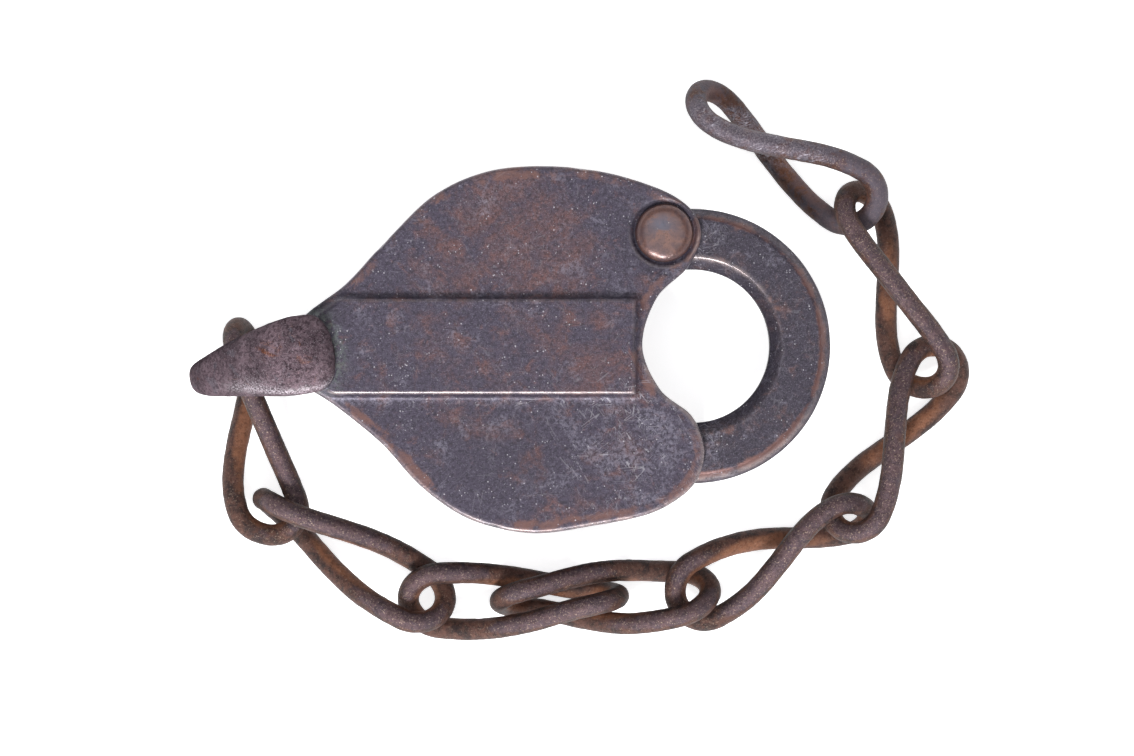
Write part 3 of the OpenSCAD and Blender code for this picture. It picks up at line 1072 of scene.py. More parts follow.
@dataclass
class FrontCasting(Casting):
    """The plain front, with its raised panel and the pocket around the pivot rivet."""

    name: str = "front_casting"
    node: str = "case_front"
    face: float = 21.0
    side: float = 1.0
    edge_r: float = 0.6
    grid: float = 0.25
    panel_h: float = 1.2
    panel_fade: float = 0.45
    pocket_r: float = 5.05
    pocket_h: float = 0.5
    # The slot for the shackle's neck: x and y of its low corner, x and y of its high corner
    neck_slot: tuple[float, float, float, float] = (21.5, 11.75, 41.5, 31.75)
    eye_room_r: float = 5.8
    # The slot that the toe swings through: inner and outer radius, each with the angle where it ends
    toe_sweep: tuple[tuple[float, float], tuple[float, float]] = ((29.4, -114.0), (41.3, -106.9))
    # Small dents in the edge: x, y, size, depth
    nicks: tuple[tuple[float, float, float, float], ...] = (
        (-0.8, -28.5, 0.8, 0.4), (27.6, -24.2, 1.0, 0.2), (-18.6, 15.9, 0.9, 0.2), (13.0, 27.6, 1.2, 0.15),
    )
    # Patches: x, y, flatness (1 is round), size. The shadow spot and the corner spot are painted shade, the
    # third marks scratches, the warm ones the patina's warmer tone.
    shadow_spot: tuple[float, float, float, float] = (1, -18, 1.3, 11)
    shaded_corner_spot: tuple[float, float, float, float] = (-28.5, 6, 1, 3.2)
    scuffed_spot: tuple[float, float, float, float] = (21, -15, 1, 9)
    warm_spots: tuple[tuple[float, float, float, float], ...] = ((2, 18, 1.2, 14), (15, -2, 1, 8))

    def panel_gap(self, xy: np.ndarray) -> np.ndarray:
        """Gives how far outside the panel's flat top each point lies.

        Args:
            xy: the points, two numbers each.

        Returns:
            One number for each point; on the panel it is below 0.
        """
        x, y = xy[:, 0], xy[:, 1]
        across = np.maximum(y - PANEL_HIGH_Y, PANEL_LOW_Y - y)
        beyond = (x - PANEL_END_X) * 0.75
        return np.where((across > 0) & (beyond > 0), np.hypot(across, beyond), np.maximum(across, beyond))

    def relief(self, xy: np.ndarray, depth: np.ndarray) -> np.ndarray:
        """Gives how far the face stands above its plane at each point.

        Args:
            xy: the points, two numbers each.
            depth: how far inside the outline each lies.

        Returns:
            One number for each point.
        """
        gap = np.maximum(self.panel_gap(xy) + 0.12, 0)
        panel = self.panel_h / (1 + (gap / self.panel_fade) ** 2.4)
        panel *= ramp(depth, 0.5, 1.7)
        from_pivot = np.hypot(xy[:, 0] - PIVOT[0], xy[:, 1] - PIVOT[1])
        pocket = self.pocket_h * (1 - ramp(from_pivot, self.pocket_r - 0.4, self.pocket_r + 0.3))
        dish = 0.16 * fade(np.maximum(from_pivot - self.pocket_r, 0), 1.6)
        hollow = 0.12 * np.exp(-(np.maximum(gap - 0.8, 0) / 3.0)) * ramp(gap, 0.2, 0.9)
        return panel - pocket - dish - hollow

    @staticmethod
    def patch(xy: np.ndarray, spot: tuple[float, float, float, float]) -> np.ndarray:
        """Gives 1 in the middle of a patch, and less and less around it."""
        x, y, flatness, size = spot
        return fade(np.hypot(xy[:, 0] - x, (xy[:, 1] - y) * flatness), size)

    def build(self) -> bpy.types.Object:
        """Builds the front casting and cuts out what the works need.

        Returns:
            The piece, in millimetres.
        """
        obj = self.shell()
        self.roughen(obj)
        points = places(obj)
        for x, y, size, depth in self.nicks:
            near = fade(np.hypot(points[:, 0] - x, points[:, 1] - y), size) * ramp(points[:, 2], 18, 20)
            points[:, :2] -= directions(obj)[:, :2] * (depth * near)[:, None]
        move(obj, points)
        inner = self.outline.inset(self.wall_t)
        cavity = prism(inner[inner[:, 0] > self.cavity_left_x], PARTING_Z - 1, self.floor_z)
        for place in CASE_RIVETS:
            change(cavity, column(place, self.rivet_boss_r, PARTING_Z - 2, self.floor_z + 1), Operation.CUT)
        change(obj, cavity, Operation.CUT)
        neck = box_outline(*self.neck_slot)
        change(obj, prism(neck, PARTING_Z - 1, self.floor_z), Operation.CUT)
        change(obj, column(PIVOT, self.eye_room_r, PARTING_Z - 1, self.floor_z), Operation.CUT)
        (inner_r, inner_turn), (outer_r, outer_turn) = self.toe_sweep
        sweep = np.vstack([arc(PIVOT, outer_r, outer_turn, 0, 60), arc(PIVOT, inner_r, 0, inner_turn, 60)])
        change(obj, prism(sweep, PARTING_Z - 1, self.floor_z), Operation.CUT)
        change(obj, column(BOW_PIN, self.bow_bore_r, PARTING_Z - 1, self.face + 9), Operation.CUT)
        return obj

    def dress(self, obj: bpy.types.Object, finish: Bronze) -> None:
        """Marks where the casting is rubbed, scratched or green, its painted highlights on the lit edges and
        its painted shade in creases and hollows, and gives it its finish.

        Args:
            obj: the casting, in millimetres.
            finish: its bronze.
        """
        points = places(obj)
        xy = points[:, :2]
        x, y = xy.T
        depth = self.outline.depth(xy)
        gap = self.panel_gap(xy)
        high = ramp(points[:, 2], 19.6, 20.4)
        from_pivot = np.hypot(x - PIVOT[0], y - PIVOT[1])
        rim = 0.3 * fade(from_pivot - self.pocket_r - 0.4, 0.35) * high
        corner = self.corner(points, depth)
        band = 0.6 * fade(depth - 1.4, 0.9) * high
        mark(obj, "wear_and_painted_light", 0.3 * fade(corner, 0.6) + band + rim)
        # Pale worn edges, stronger on the lower and right-hand ones, which face the key lamp, as painted
        # highlights, and a painted highlight on the pocket's lower rim.
        lip_highlight = 0.6 * fade(from_pivot - 5.35, 0.2) * high * ramp(PIVOT[1] - y, -1, 1)
        lit = (0.3 + 0.7 * ramp(y, 6, -6)) * (0.5 + 0.5 * ramp(x, -22, -6))
        mark(obj, "worn_crest_and_painted_highlight", lit * fade(corner, 0.25) + lip_highlight)
        # Painted shade: above the panel, in the groove round the rivet's head, on the pocket's upper wall,
        # over the lower lobe, left of the pocket and in the corner beside the bow.
        crease = fade(gap - 0.75, 0.5) * ramp(depth, 0.4, 1.5) * high
        crease *= np.where(y > 0, 0.3, 0.0)
        left = 0.5 - 0.5 * (x - PIVOT[0]) / self.pocket_r
        ring = ramp(from_pivot, 4.2, 4.5) * ramp(from_pivot, 5.2, 4.8) * (0.1 + 0.6 * left)
        wall = 0.6 * fade(from_pivot - 5.15, 0.35) * ramp(y - PIVOT[1], -1, 1)
        shadow = 0.25 * self.patch(xy, self.shadow_spot) * high
        shade = 0.35 * np.exp(-(np.maximum(from_pivot - 5, 0) / 1.8)) * high * left
        hollow = 0.85 * self.patch(xy, self.shaded_corner_spot) * (y > 3)
        mark(obj, "painted_shade", np.max([crease, ring, wall, shadow, shade, hollow], axis=0))
        strip = 0.7 * fade(gap - 1.3, 0.7) * (y < 0)
        mark(obj, "scuffs_and_painted_light", (self.patch(xy, self.scuffed_spot) + strip) * high)
        mark(obj, "warm", sum(self.patch(xy, spot) for spot in self.warm_spots) * high)
        turn = math.radians(BOW_TURN)
        u = (x - BOW_PIN[0]) * math.cos(turn) + (y - BOW_PIN[1]) * math.sin(turn)
        w = -(x - BOW_PIN[0]) * math.sin(turn) + (y - BOW_PIN[1]) * math.cos(turn)
        from_bow = np.hypot(np.maximum(np.abs(u) - 0.3, 0), w * 0.6) - 3.0
        mark(obj, "verdigris", fade(np.maximum(from_bow, 0), 1.1) * high * 0.9 + 0.25 * rim)
        settle(obj, "case", self.node, finish.make(with_panel=True), sharp=50)


@dataclass
class BackCasting(Casting):
    """The keyhole side, with the drop's recess, the keyhole and the relief for the bow's back leg."""

    name: str = "back_casting"
    node: str = "case_back"
    face: float = 0.0
    side: float = -1.0
    edge_r: float = 0.84
    grid: float = 0.8
    floor_z: float = 4.2
    uneven: float = 0.02
    key: tuple[float, float] = (8.5, -4.0)
    drop_pivot: tuple[float, float] = (17.5, -4.0)
    drop_reach: float = 10.0
    drop_big: float = 5.7
    drop_small: float = 3.5
    # The angles at which the drop's outline is cut out, for its whole swing
    drop_turns: tuple[float, ...] = (0, 20, 40, 60)
    recess_h: float = 2.0
    # Posts that stand in the cavity besides the rivets' bosses: place and radius
    posts: tuple[tuple[tuple[float, float], float], ...] = (
        (PIVOT, 5.4), ((-1.5, 5.5), 2.4), ((16.5, 5.5), 2.4),
    )
    keyhole_r: float = 3.0
    keyhole_reach: float = 6.2
    keyhole_half_w: float = 1.2
    # Room for the bow's back leg: its radius, and a corner beyond the point, from the bow's pin
    leg_room_r: float = 5.3
    leg_room_corner: tuple[float, float] = (-10.0, 11.3)

    def drop_outline(self, turn: float) -> np.ndarray:
        """Gives the drop's outline with its clearance, turned by an angle.

        Args:
            turn: the angle, in degrees.

        Returns:
            The outline's points.
        """
        lean = math.degrees(math.acos((self.drop_big - self.drop_small) / self.drop_reach))
        flat = np.vstack([
            arc((-self.drop_reach, 0), self.drop_big, lean, 360 - lean, 24),
            arc((0, 0), self.drop_small, -lean, lean, 12),
        ])
        c, s = math.cos(math.radians(turn)), math.sin(math.radians(turn))
        return flat @ np.array([[c, s], [-s, c]]) + np.array(self.drop_pivot)

    def build(self) -> bpy.types.Object:
        """Builds the back casting and cuts out what the works need.

        Returns:
            The piece, in millimetres.
        """
        obj = self.shell()
        self.roughen(obj)
        inner = self.outline.inset(self.wall_t)
        cavity = prism(inner[inner[:, 0] > self.cavity_left_x], self.floor_z, PARTING_Z + 1)
        bosses = [(place, self.rivet_boss_r) for place in CASE_RIVETS]
        for place, radius in (*bosses, *self.posts):
            change(cavity, column(place, radius, self.floor_z - 1, PARTING_Z + 2), Operation.CUT)
        change(obj, cavity, Operation.CUT)
        for turn in self.drop_turns:
            change(obj, prism(self.drop_outline(turn), -1, self.recess_h), Operation.CUT)
        change(obj, column(self.key, self.keyhole_r, -1, self.floor_z + 1), Operation.CUT)
        x, y = self.key
        slot = box_outline(x - self.keyhole_reach, y - self.keyhole_half_w, x, y + self.keyhole_half_w)
        change(obj, prism(slot, -1, self.floor_z + 1), Operation.CUT)
        x, y = self.leg_room_corner
        room = np.vstack([arc((0, 0), self.leg_room_r, -90, 90, 24), [(x, y), (x, -y)]])
        change(obj, prism(room + np.array(BOW_PIN), -1, self.floor_z), Operation.CUT)
        change(obj, column(BOW_PIN, self.bow_bore_r, -1, PARTING_Z + 1), Operation.CUT)
        return obj

    def dress(self, obj: bpy.types.Object, finish: Bronze) -> None:
        """Marks where the casting is rubbed, and gives it its finish.

        Args:
            obj: the casting, in millimetres.
            finish: its bronze.
        """
        points = places(obj)
        depth = self.outline.depth(points[:, :2])
        corner = self.corner(points, depth)
        mark(obj, "wear_and_painted_light", 0.8 * fade(corner, 0.9))
        mark(obj, "worn_crest_and_painted_highlight", fade(corner, 0.3))
        settle(obj, "case", self.node, finish.make(), sharp=50)


@dataclass
class PivotRivet:
    """The rivet that the shackle turns on, with its low domed head."""

    head_r: float = 4.57
    shank_r: float = 2.8
    seat: float = 20.5
    # Radius and height along the head's dome, from its middle outwards
    dome: tuple[tuple[float, float], ...] = (
        (0, 21.84), (0.7, 21.84), (1.4, 21.83), (2.1, 21.8), (2.7, 21.77), (3.25, 21.71),
        (3.65, 21.6), (3.95, 21.46), (4.2, 21.26), (4.4, 21.0), (4.52, 20.75),
    )
    foot_z: float = 1.2
    # Radius and height along the flared foot, from its rim to its middle
    foot: tuple[tuple[float, float], ...] = ((3.5, 0.15), (3.2, 0.1), (0, 0.1))

    def build(self) -> bpy.types.Object:
        """Turns the rivet and beats its head a little out of true.

        Returns:
            The piece, in millimetres.
        """
        shank = [(self.head_r, self.seat), (self.shank_r, self.seat), (self.shank_r, self.foot_z)]
        profile = np.array([*self.dome, *shank, *self.foot])
        obj = lathe("pivot_rivet_head", profile, PIVOT, 96)
        points = places(obj)
        head = ramp(points[:, 2], 20.5, 20.9)
        dent = fade(np.hypot(points[:, 0] - PIVOT[0] - 0.1, points[:, 1] - PIVOT[1] - 2.0), 0.5)
        points[:, 2] += head * (0.07 * ripple(points, 2.2, 2, 5.0) - 0.12 * dent - 0.03)
        out = points[:, :2] - np.array(PIVOT)
        points[:, :2] += out * (head * 0.02 * ripple(points, 3.5, 1, 9.0))[:, None]
        move(obj, points)
        return obj

    def dress(self, obj: bpy.types.Object, finish: Copper) -> None:
        """Marks its grey patch and the painted shade round the foot of its head, and gives it its finish.

        Args:
            obj: the rivet, in millimetres.
            finish: its copper.
        """
        points = places(obj)
        from_axis = np.hypot(points[:, 0] - PIVOT[0], points[:, 1] - PIVOT[1])
        stain = fade(np.hypot(points[:, 0] - PIVOT[0] + 0.4, (points[:, 1] - PIVOT[1] - 1.2) * 1.4), 1.9)
        mark(obj, "stain", stain)
        mark(obj, "painted_shade", ramp(points[:, 2], 21.0, 20.6) * ramp(from_axis, 3.9, 4.35))
        settle(obj, "case", "pivot_rivet", finish.make())


# ---- Shackle ----


@dataclass
class Shackle:
    """The flat round shackle, from its eye on the pivot rivet round to its notched toe."""

    ring_x: float = 30.2
    in_r: float = 12.0
    width: float = 9.5
    low: float = 12.7
    high: float = 19.2
    eye_r: float = 5.5
    bore_r: float = 2.85
    toe_x: float = 14.0
    toe_round: float = 0.7
    bolt_x: float = 17.2
    notch_w: float = 3.6
    notch_h: float = 3.5
    uneven: float = 0.035

    def section(self) -> np.ndarray:
        """Gives the bar's cross-section: distance from the ring's middle, and height.

        Returns:
            The section's points, two numbers each.
        """
        r, out = self.in_r, self.in_r + self.width
        return divided(rounded((
            (r + 0.6, self.low, 0.4), (out - 0.8, self.low, 0.6), (out, self.low + 0.8, 0.6),
            (out, self.high - 1.3, 1.0), (out - 1.5, self.high, 1.0), (r + 1.85, self.high, 0.6),
            (r, self.high - 1.6, 0.5), (r, self.low + 0.6, 0.4),
        )), 0.45)

    def rings(self) -> np.ndarray:
        """Gives the cross-section's rings, from the pivot round to the toe.

        Returns:
            The rings, as an array of rings by points by coordinates.
        """
        section = self.section()
        middle = section.mean(axis=0)
        r, z = section.T
        straight = np.linspace(PIVOT[0], self.ring_x, 6)[:-1]
        rings = [np.column_stack([np.full(len(r), x), r, z]) for x in straight]
        for angle in np.radians(np.linspace(90, -90, 151)):
            rings.append(np.column_stack([self.ring_x + r * math.cos(angle), r * math.sin(angle), z]))
        for x in np.linspace(self.ring_x, self.toe_x + self.toe_round, 20)[1:]:
            rings.append(np.column_stack([np.full(len(r), x), -r, z]))
        for angle in np.radians([20, 40, 60, 80]):
            shrink = self.toe_round * (1 - math.cos(angle))
            small = section + np.sign(middle - section) * np.minimum(shrink, np.abs(middle - section))
            x = self.toe_x + self.toe_round * (1 - math.sin(angle))
            rings.append(np.column_stack([np.full(len(r), x), -small[:, 0], small[:, 1]]))
        return np.array(rings)

    def build(self) -> bpy.types.Object:
        """Builds the bar, its eye, its bore and its notch.

        Returns:
            The piece, in millimetres.
        """
        rings = self.rings()
        obj = solid("shackle_bar", rings.reshape(-1, 3), skin(rings, closed=False))
        points = places(obj)
        lumps = 0.7 * ripple(points, 6.0, 2, 2.0) + 0.3 * ripple(points, 1.5, 1, 4.0)
        free = ramp(points[:, 0], 29, 33)
        move(obj, points + directions(obj) * (self.uneven * lumps * (0.3 + 0.7 * free))[:, None])
        change(obj, column(PIVOT, self.eye_r, self.low, self.high), Operation.JOIN)
        change(obj, column(PIVOT, self.bore_r, self.low - 1, self.high + 1), Operation.CUT)
        half = self.notch_w / 2
        x, y = self.bolt_x, -self.in_r
        notch = box_outline(x - half, y - self.notch_h, x + half, y + 2)
        change(obj, prism(notch, self.low - 1, self.high + 1), Operation.CUT)
        return obj

    def dress(self, obj: bpy.types.Object, finish: Bronze) -> None:
        """Marks its rubbed edges, the painted highlights on its lit ridges, its necks, with scuffs lightened
        as painted light, and the painted shade on its inner side, and gives it its finish.

        Args:
            obj: the shackle, in millimetres.
            finish: its bronze.
        """
        points = places(obj)
        radius = np.hypot(np.maximum(points[:, 0] - self.ring_x, 0), points[:, 1])
        outer, inner = self.in_r + self.width, self.in_r
        upper = ramp(points[:, 2], self.high - 3.0, self.high - 1.5)
        outside = 0.75 * fade(radius - outer + 1.3, 0.9)
        inside = 0.35 * fade(radius - inner - 2.2, 0.9)
        mark(obj, "wear_and_painted_light", upper * (outside + inside))
        neck = ramp(points[:, 0], 38, 32)
        above = ramp(points[:, 1], 4, 13)
        # Pale worn ridges, with painted highlights on the lower outer ridge and the upper inner ridge, which
        # face the key lamp.
        outer_ridge = (0.3 + 0.7 * ramp(points[:, 1], -6, -14)) * fade(radius - outer + 0.7, 0.35)
        inner_ridge = (0.1 + 0.9 * above) * fade(radius - inner - 1.8, 0.35)
        mark(obj, "worn_crest_and_painted_highlight", upper * (outer_ridge + inner_ridge))
        # The necks: scuffs, lightened as painted light.
        mark(obj, "scuffs_and_painted_light", 0.5 * neck * upper)
        # Painted shade on the inner side.
        mark(obj, "painted_shade", 0.35 * ramp(radius, inner + 1.7, inner + 0.2))
        settle(obj, "shackle", "shackle", finish.make(), sharp=50)


# ---- Bow ----


@dataclass
class Bow:
    """The forged bow that swivels on the case's point and holds the chain."""

    # Along the strap: distance from the pin, height, half its thickness, half its width, shift to the side
    stations: tuple[tuple[float, float, float, float, float], ...] = (
        (1.6, 23.9, 1.42, 6.1, 0), (3.4, 23.9, 1.42, 6.15, -0.05), (5.8, 23.75, 1.45, 5.9, 0),
        (8.6, 22.5, 1.65, 5.4, 0), (11.4, 20.1, 1.9, 4.8, 0.1), (14.6, 17.0, 2.0, 4.0, 0.25),
        (17.6, 13.9, 2.0, 3.2, 0.45), (19.1, 10.6, 1.9, 2.5, 0.4), (17.9, 7.8, 1.7, 2.8, 0.1),
        (14.4, 6.25, 1.15, 3.1, 0), (10.0, 6.0, 1.15, 3.1, 0), (7.4, 4.3, 1.15, 3.1, 0),
        (5.0, 2.2, 1.25, 3.1, 0), (1.6, 1.8, 1.3, 3.1, 0), (-1.2, 1.8, 1.25, 2.8, 0),
    )
    front_cap: float = 4.2
    back_cap: float = 1.1
    squareness: float = 2.3
    steps: int = 9
    sides: int = 40
    uneven: float = 0.09

    def rings(self) -> np.ndarray:
        """Gives the strap's rings in its own frame: along, across, up.

        Returns:
            The rings, as an array of rings by points by coordinates.
        """
        line = smooth_line(np.array(self.stations), self.steps)
        along = np.gradient(line[:, :2], axis=0)
        along /= np.linalg.norm(along, axis=1)[:, None]
        rows = [(*p[:2], *t, *p[2:]) for p, t in zip(line, along)]
        front, back = self.capped(rows[0], self.front_cap, -1), self.capped(rows[-1], self.back_cap, 1)
        rows = front[::-1] + rows + back
        angles = np.linspace(0, 2 * math.pi, self.sides, endpoint=False)
        c, s = np.cos(angles), np.sin(angles)
        power = 2 / self.squareness
        wide, thick = np.sign(c) * np.abs(c) ** power, np.sign(s) * np.abs(s) ** power
        rings = []
        for u, z, du, dz, half_t, half_w, shift in rows:
            forward, up = u - dz * half_t * thick, z + du * half_t * thick
            rings.append(np.column_stack([forward, shift + half_w * wide, up]))
        return np.array(rings)

    def capped(self, row: tuple[float, ...], reach: float, way: int) -> list[tuple[float, ...]]:
        """Rounds the strap off beyond one of its ends.

        Args:
            row: the last place, direction, half sizes and shift.
            reach: how far the rounding goes on.
            way: 1 to go on forwards and -1 backwards.

        Returns:
            The further rows, going outwards.
        """
        u, z, du, dz, half_t, half_w, shift = row
        more = []
        for share in np.sin(np.radians([8, 16, 24, 32, 40, 48, 56, 63, 70, 76, 81, 85, 88])):
            step = way * reach * share
            width = half_w * (1 - share**2.5) ** 0.4
            thick = half_t * (1 - share**5) ** 0.5
            more.append((u + du * step, z + dz * step, du, dz, thick, width, shift))
        return more

    def build(self) -> bpy.types.Object:
        """Builds the strap, pitted and a little uneven, on its pin.

        Returns:
            The piece, in millimetres.
        """
        rings = self.rings()
        obj = solid("forged_bow", rings.reshape(-1, 3), skin(rings, closed=False))
        points = places(obj)
        lumps = 0.6 * ripple(points, 4.0, 2, 1.0) + 0.4 * ripple(points, 1.0, 2, 6.0)
        points = points + directions(obj) * (self.uneven * lumps)[:, None]
        turn = math.radians(BOW_TURN)
        c, s = math.cos(turn), math.sin(turn)
        x, y = points[:, 0] * c - points[:, 1] * s, points[:, 0] * s + points[:, 1] * c
        points[:, 0], points[:, 1] = x + BOW_PIN[0], y + BOW_PIN[1]
        move(obj, points)
        return obj

    def dress(self, obj: bpy.types.Object, finish: ForgedIron) -> None:
        """Marks the painted highlight along the side that faces the key lamp, and painted shade on its tip, on
        the side turned away from the lamp and at the foot of its front leg, and gives it its finish.

        Args:
            obj: the bow, in millimetres.
            finish: its iron.
        """
        points, normals = places(obj), directions(obj)
        # A painted highlight along the strap's side that faces the key lamp.
        lean = np.degrees(np.arctan2(-normals[:, 1], normals[:, 2]))
        band = fade(lean - 32, 11) * ramp(points[:, 0], -46, -38)
        mark(obj, "wear_and_painted_light", band * ramp(normals[:, 2], 0.2, 0.6) * ramp(points[:, 2], 13, 20))
        # Painted shade on the tip, the foot of the front leg and the side turned away from the key lamp.
        tip = 0.8 * ramp(points[:, 0], -34, -47)
        above = ramp(points[:, 2], 20, 21)
        foot = ramp(points[:, 0], -28.5, -26.2) * above
        mark(obj, "painted_dark_shade", np.clip(tip + 0.7 * foot + 0.5 * ramp(normals[:, 1], 0.1, 0.8), 0, 1))
        # Painted shade on the low rounding of the front leg's foot, beside the case.
        mark(obj, "painted_shade", ramp(points[:, 2], 23.4, 22.6) * ramp(points[:, 0], -33, -28) * above)
        settle(obj, "bow", "chain_bow", finish.make())


# ---- Chain ----


@dataclass
class Link:
    """One hand-twisted link of round wire, as it lies."""

    number: int
    wire_r: float = 1.72
    rest_r: float = 1.75
    length: float = 33.25
    half_w: float = 4.85
    pinch: float = 0.15
    ease: float = 0.75
    rings: int = 240
    sides: int = 26
    uneven: float = 0.1
    polished_at: tuple[float, float] = (39.0, 33.5)

    def flat(self, share: np.ndarray) -> np.ndarray:
        """Gives the flat loop's points, before it is twisted, at shares of its way round.

        Args:
            share: the shares, from 0 to 1.

        Returns:
            Two numbers for each share: along the link and across it.
        """
        half = self.length / 2 - self.half_w
        bend = math.pi * self.half_w
        d = share * (4 * half + 2 * bend)
        right = (d - 2 * half) / self.half_w
        left = (d - 4 * half - bend) / self.half_w
        parts = [d < 2 * half, d < 2 * half + bend, d < 4 * half + bend]
        x = np.select(parts, [d - half, half + self.half_w * np.sin(right), 3 * half + bend - d],
                      -half - self.half_w * np.sin(left))
        y = np.select(parts, [np.full(len(d), self.half_w), self.half_w * np.cos(right),
                              np.full(len(d), -self.half_w)], -self.half_w * np.cos(left))
        waist = np.maximum(0, np.cos(np.radians(90) * np.clip(x / half, -1, 1)))
        return np.column_stack([x, y * (1 - self.pinch * waist**2)])

    def line(self) -> tuple[np.ndarray, np.ndarray, np.ndarray]:
        """Gives the wire's line as it lies.

        Returns:
            The line's points, the directions square to the flat loop, and the directions to the middle.
        """
        x0, y0, heading, roll, twist, bend, sway, tilt = LINKS[self.number - 1]
        flat = self.flat(np.arange(self.rings) / self.rings)
        t = flat[:, 0] / self.length + 0.5
        turn = np.radians(roll + twist * (t - self.ease * np.sin(2 * math.pi * t) / (2 * math.pi)))
        bow = bend * (np.sin(math.pi * t) - 0.5) + sway * np.sin(2 * math.pi * t)
        raw = np.column_stack([flat[:, 0], flat[:, 1] * np.cos(turn) + bow, flat[:, 1] * np.sin(turn)])
        square = np.column_stack([np.zeros(self.rings), -np.sin(turn), np.cos(turn)])
        home = np.column_stack([0.25 * raw[:, 0], bow, np.zeros(self.rings)])
        placed = [self.tilted(part, tilt) for part in (raw, square, home)]
        low = placed[0][:, 2].min()
        placed = [self.headed(part, heading) for part in placed]
        shift = np.array([x0, y0, self.rest_r - low])
        inwards = placed[2] - placed[0]
        return placed[0] + shift, placed[1], inwards / np.linalg.norm(inwards, axis=1)[:, None]

    @staticmethod
    def tilted(points: np.ndarray, angle: float) -> np.ndarray:
        """Tips the link up at one end."""
        c, s = math.cos(math.radians(angle)), math.sin(math.radians(angle))
        return points @ np.array([[c, 0, s], [0, 1, 0], [-s, 0, c]])

    @staticmethod
    def headed(points: np.ndarray, angle: float) -> np.ndarray:
        """Turns the link to its heading."""
        c, s = math.cos(math.radians(angle)), math.sin(math.radians(angle))
        return points @ np.array([[c, s, 0], [-s, c, 0], [0, 0, 1]])

    def build(self) -> bpy.types.Object:
        """Builds the link's wire, beaten and rusted out of true.

        Returns:
            The piece, in millimetres.
        """
        line, square, inwards = self.line()
        along = np.roll(line, -1, axis=0) - np.roll(line, 1, axis=0)
        first = np.cross(along, square)
        first /= np.linalg.norm(first, axis=1)[:, None]
        second = np.cross(first, along)
        second /= np.linalg.norm(second, axis=1)[:, None]
        angles = np.linspace(0, 2 * math.pi, self.sides, endpoint=False)
        along_first, along_second = np.cos(angles)[None, :, None], np.sin(angles)[None, :, None]
        out = along_first * first[:, None, :] + along_second * second[:, None, :]
        surface = line[:, None, :] + self.wire_r * out
        flat = surface.reshape(-1, 3)
        lumps = 0.55 * ripple(flat, 4.5, 2, self.number * 7.3)
        lumps += 0.45 * ripple(flat, 1.1, 2, self.number * 3.1)
        shape = self.uneven * lumps.reshape(self.rings, self.sides, 1)
        rings = surface + out * np.minimum(shape, 0.03)
        obj = solid(f"link_{self.number}_wire", rings.reshape(-1, 3), skin(rings, closed=True))
        inner = ramp(np.einsum("ijk,ik->ij", out, inwards).ravel(), 0.1, 0.9)
        mark(obj, "inner", inner)
        upwards = out[:, :, 2].ravel()
        # The wires' tops: worn, and painted lighter where they face the lamps.
        mark(obj, "wear_and_painted_light", ramp(upwards, 0.3, 0.95) * ramp(flat[:, 2], 5, 10))
        beside, above = flat[:, 0] - self.polished_at[0], flat[:, 1] - self.polished_at[1]
        from_spot = np.hypot(beside / 14, (above + 0.27 * beside) / 5)
        mark(obj, "polish", ramp(upwards, -0.1, 0.7) * fade(from_spot, 1))
        # Painted shade on the wires' sides and undersides, and in their dents.
        shaded = 0.6 * ramp(upwards, 0.6, 0.0) * (1 - 0.8 * inner)
        mark(obj, "painted_shade", np.maximum(0.5 * ramp(-lumps, 0.25, 0.7), shaded))
        return obj

    def dress(self, obj: bpy.types.Object, material: bpy.types.Material) -> None:
        """Ties the link to its body and gives it its finish."""
        settle(obj, f"link_{self.number}", f"chain_link_{self.number}", material)


# ---- The rest ----


@dataclass
class Fittings:
    """The small parts that keep their CAD shapes."""

    bronze: tuple[str, ...] = ("case_rivets", "ward_ring", "keyhole_drop")
    copper: tuple[str, ...] = ("drop_rivet",)
    iron: tuple[str, ...] = ("bow_rivet",)
    steel: tuple[str, ...] = ("lock_plate", "bolt", "bolt_keeper", "bolt_spring", "drill_pin")

    def dress(self, nodes: dict[str, bpy.types.Object]) -> None:
        """Gives each part its finish.

        Args:
            nodes: the frame's nodes by name.
        """
        rows = (
            (self.bronze, Slot.BRONZE, Bronze("fitting_bronze").make()),
            (self.copper, Slot.COPPER, Copper("fitting_copper").make()),
            (self.iron, Slot.FORGED_IRON, ForgedIron("fitting_iron").make()),
            (self.steel, Slot.STEEL, LockSteel().make()),
        )
        for names, slot, material in rows:
            for name in names:
                coat(nodes[name], material)
                LOG.info("%s: %s", name, material.name)


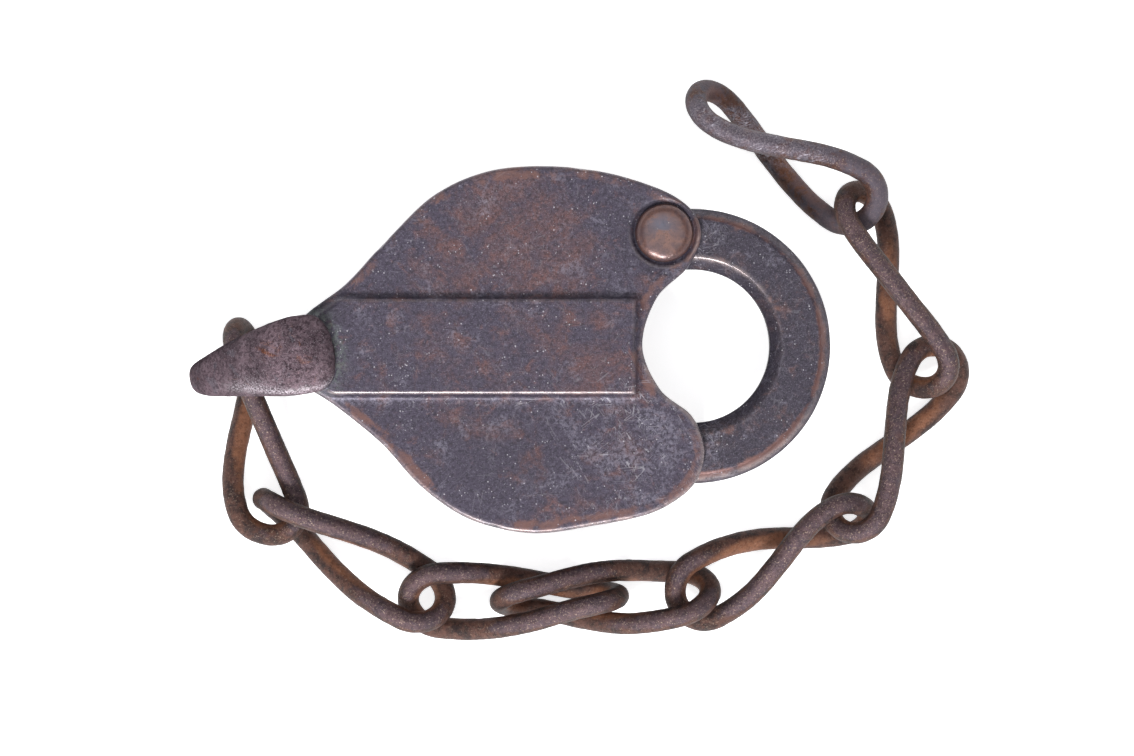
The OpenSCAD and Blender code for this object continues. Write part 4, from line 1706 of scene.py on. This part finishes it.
@dataclass
class Studio:
    """A pale floor, soft lights and the camera, in metres."""

    camera_at: tuple[float, float, float] = (0.01047, -0.005, 1.22)
    lens: float = 243.8
    floor_r: float = 3.0
    cove_r: float = 0.5
    cove_top: float = 2.6
    floor_colour: tuple[float, float, float, float] = (0.93, 0.93, 0.94, 1.0)
    floor_glow: float = 0.72
    world_strength: float = 0.35
    # Name, place, size, power
    lamps: tuple[tuple[str, tuple[float, float, float], float, float], ...] = (
        ("overhead", (0.0, 0.0, 1.6), 1.3, 6.5),
        ("key", (-0.12, -0.72, 0.78), 0.3, 13.5),
    )

    def build(self) -> None:
        """Builds the floor, the lights, the world and the camera."""
        self.build_floor()
        for name, place, size, power in self.lamps:
            lamp = bpy.data.lights.new(name, "AREA")
            lamp.shape = "DISK"
            lamp.size = size
            lamp.energy = power
            obj = bpy.data.objects.new(name, lamp)
            obj.location = place
            obj.rotation_mode = "QUATERNION"
            obj.rotation_quaternion = (-Vector(place)).to_track_quat("-Z", "Y")
            obj.visible_camera = False
            bpy.context.scene.collection.objects.link(obj)
        self.build_world()
        camera = bpy.data.cameras.new("camera")
        camera.lens = self.lens
        camera.clip_start, camera.clip_end = 0.05, 50
        obj = bpy.data.objects.new("camera", camera)
        obj.location = self.camera_at
        bpy.context.scene.collection.objects.link(obj)
        bpy.context.scene.camera = obj
        bpy.context.scene.view_settings.view_transform = "Standard"

    def build_floor(self) -> None:
        """Builds the floor and the cove around it, which show a little brighter than they are lit."""
        turn = np.radians(np.linspace(-90, 0, 13))
        radii = np.append(self.floor_r + self.cove_r * np.cos(turn), self.floor_r + self.cove_r)
        levels = np.append(self.cove_r * (1 + np.sin(turn)), self.cove_top)
        rings = np.array([
            np.column_stack([arc((0, 0), radius, 0, 360, 96)[:-1], np.full(96, z)])
            for radius, z in zip(radii, levels)
        ])
        floor = solid("floor", rings.reshape(-1, 3), skin(rings, closed=False)[:-1])
        mesh = floor.data
        mesh.polygons.foreach_set("use_smooth", [len(polygon.vertices) == 4 for polygon in mesh.polygons])
        s = Surface("floor_paper")
        paper = s.node("ShaderNodeBsdfDiffuse", {}, {"Color": self.floor_colour})
        glow = s.node("ShaderNodeEmission", {}, {"Color": WHITE, "Strength": s.seen() * self.floor_glow})
        both = s.node("ShaderNodeAddShader", {}, {0: paper.outputs[0], 1: glow.outputs[0]})
        s.node("ShaderNodeOutputMaterial", {}, {"Surface": both.outputs[0]})
        mesh.materials.append(s.material)

    def build_world(self) -> None:
        """Builds an even pale sky."""
        world = bpy.data.worlds.new("studio")
        bpy.context.scene.world = world
        world.use_nodes = True
        nodes = Nodes(world.node_tree)
        back = nodes.node("ShaderNodeBackground", {}, {"Color": WHITE, "Strength": self.world_strength})
        nodes.node("ShaderNodeOutputWorld", {}, {"Surface": back.outputs[0]})


def main() -> None:
    """Builds the padlock's pieces in order around the frame."""
    logging.basicConfig(level=logging.INFO, format="%(message)s")
    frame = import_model()
    Studio().build()
    outline = Outline()
    bronze = Bronze()
    for casting in (
        FrontCasting(outline=outline),
        BackCasting(outline=outline),
    ):
        casting.dress(casting.build(), bronze)
    rivet = PivotRivet()
    rivet.dress(rivet.build(), Copper())
    shackle = Shackle()
    dark_bronze = Bronze("shackle_bronze", slate="#37313e", brown="#453940", red="#5f4443")
    shackle.dress(shackle.build(), dark_bronze)
    bow = Bow()
    bow.dress(bow.build(), ForgedIron())
    rust, polished_rust = RustyIron().make(), RustyIron().make(polished=True)
    for number in range(1, len(LINKS) + 1):
        link = Link(number)
        link.dress(link.build(), polished_rust if number == len(LINKS) else rust)
    Fittings().dress(frame["nodes"])


if __name__ == "__main__":
    main()
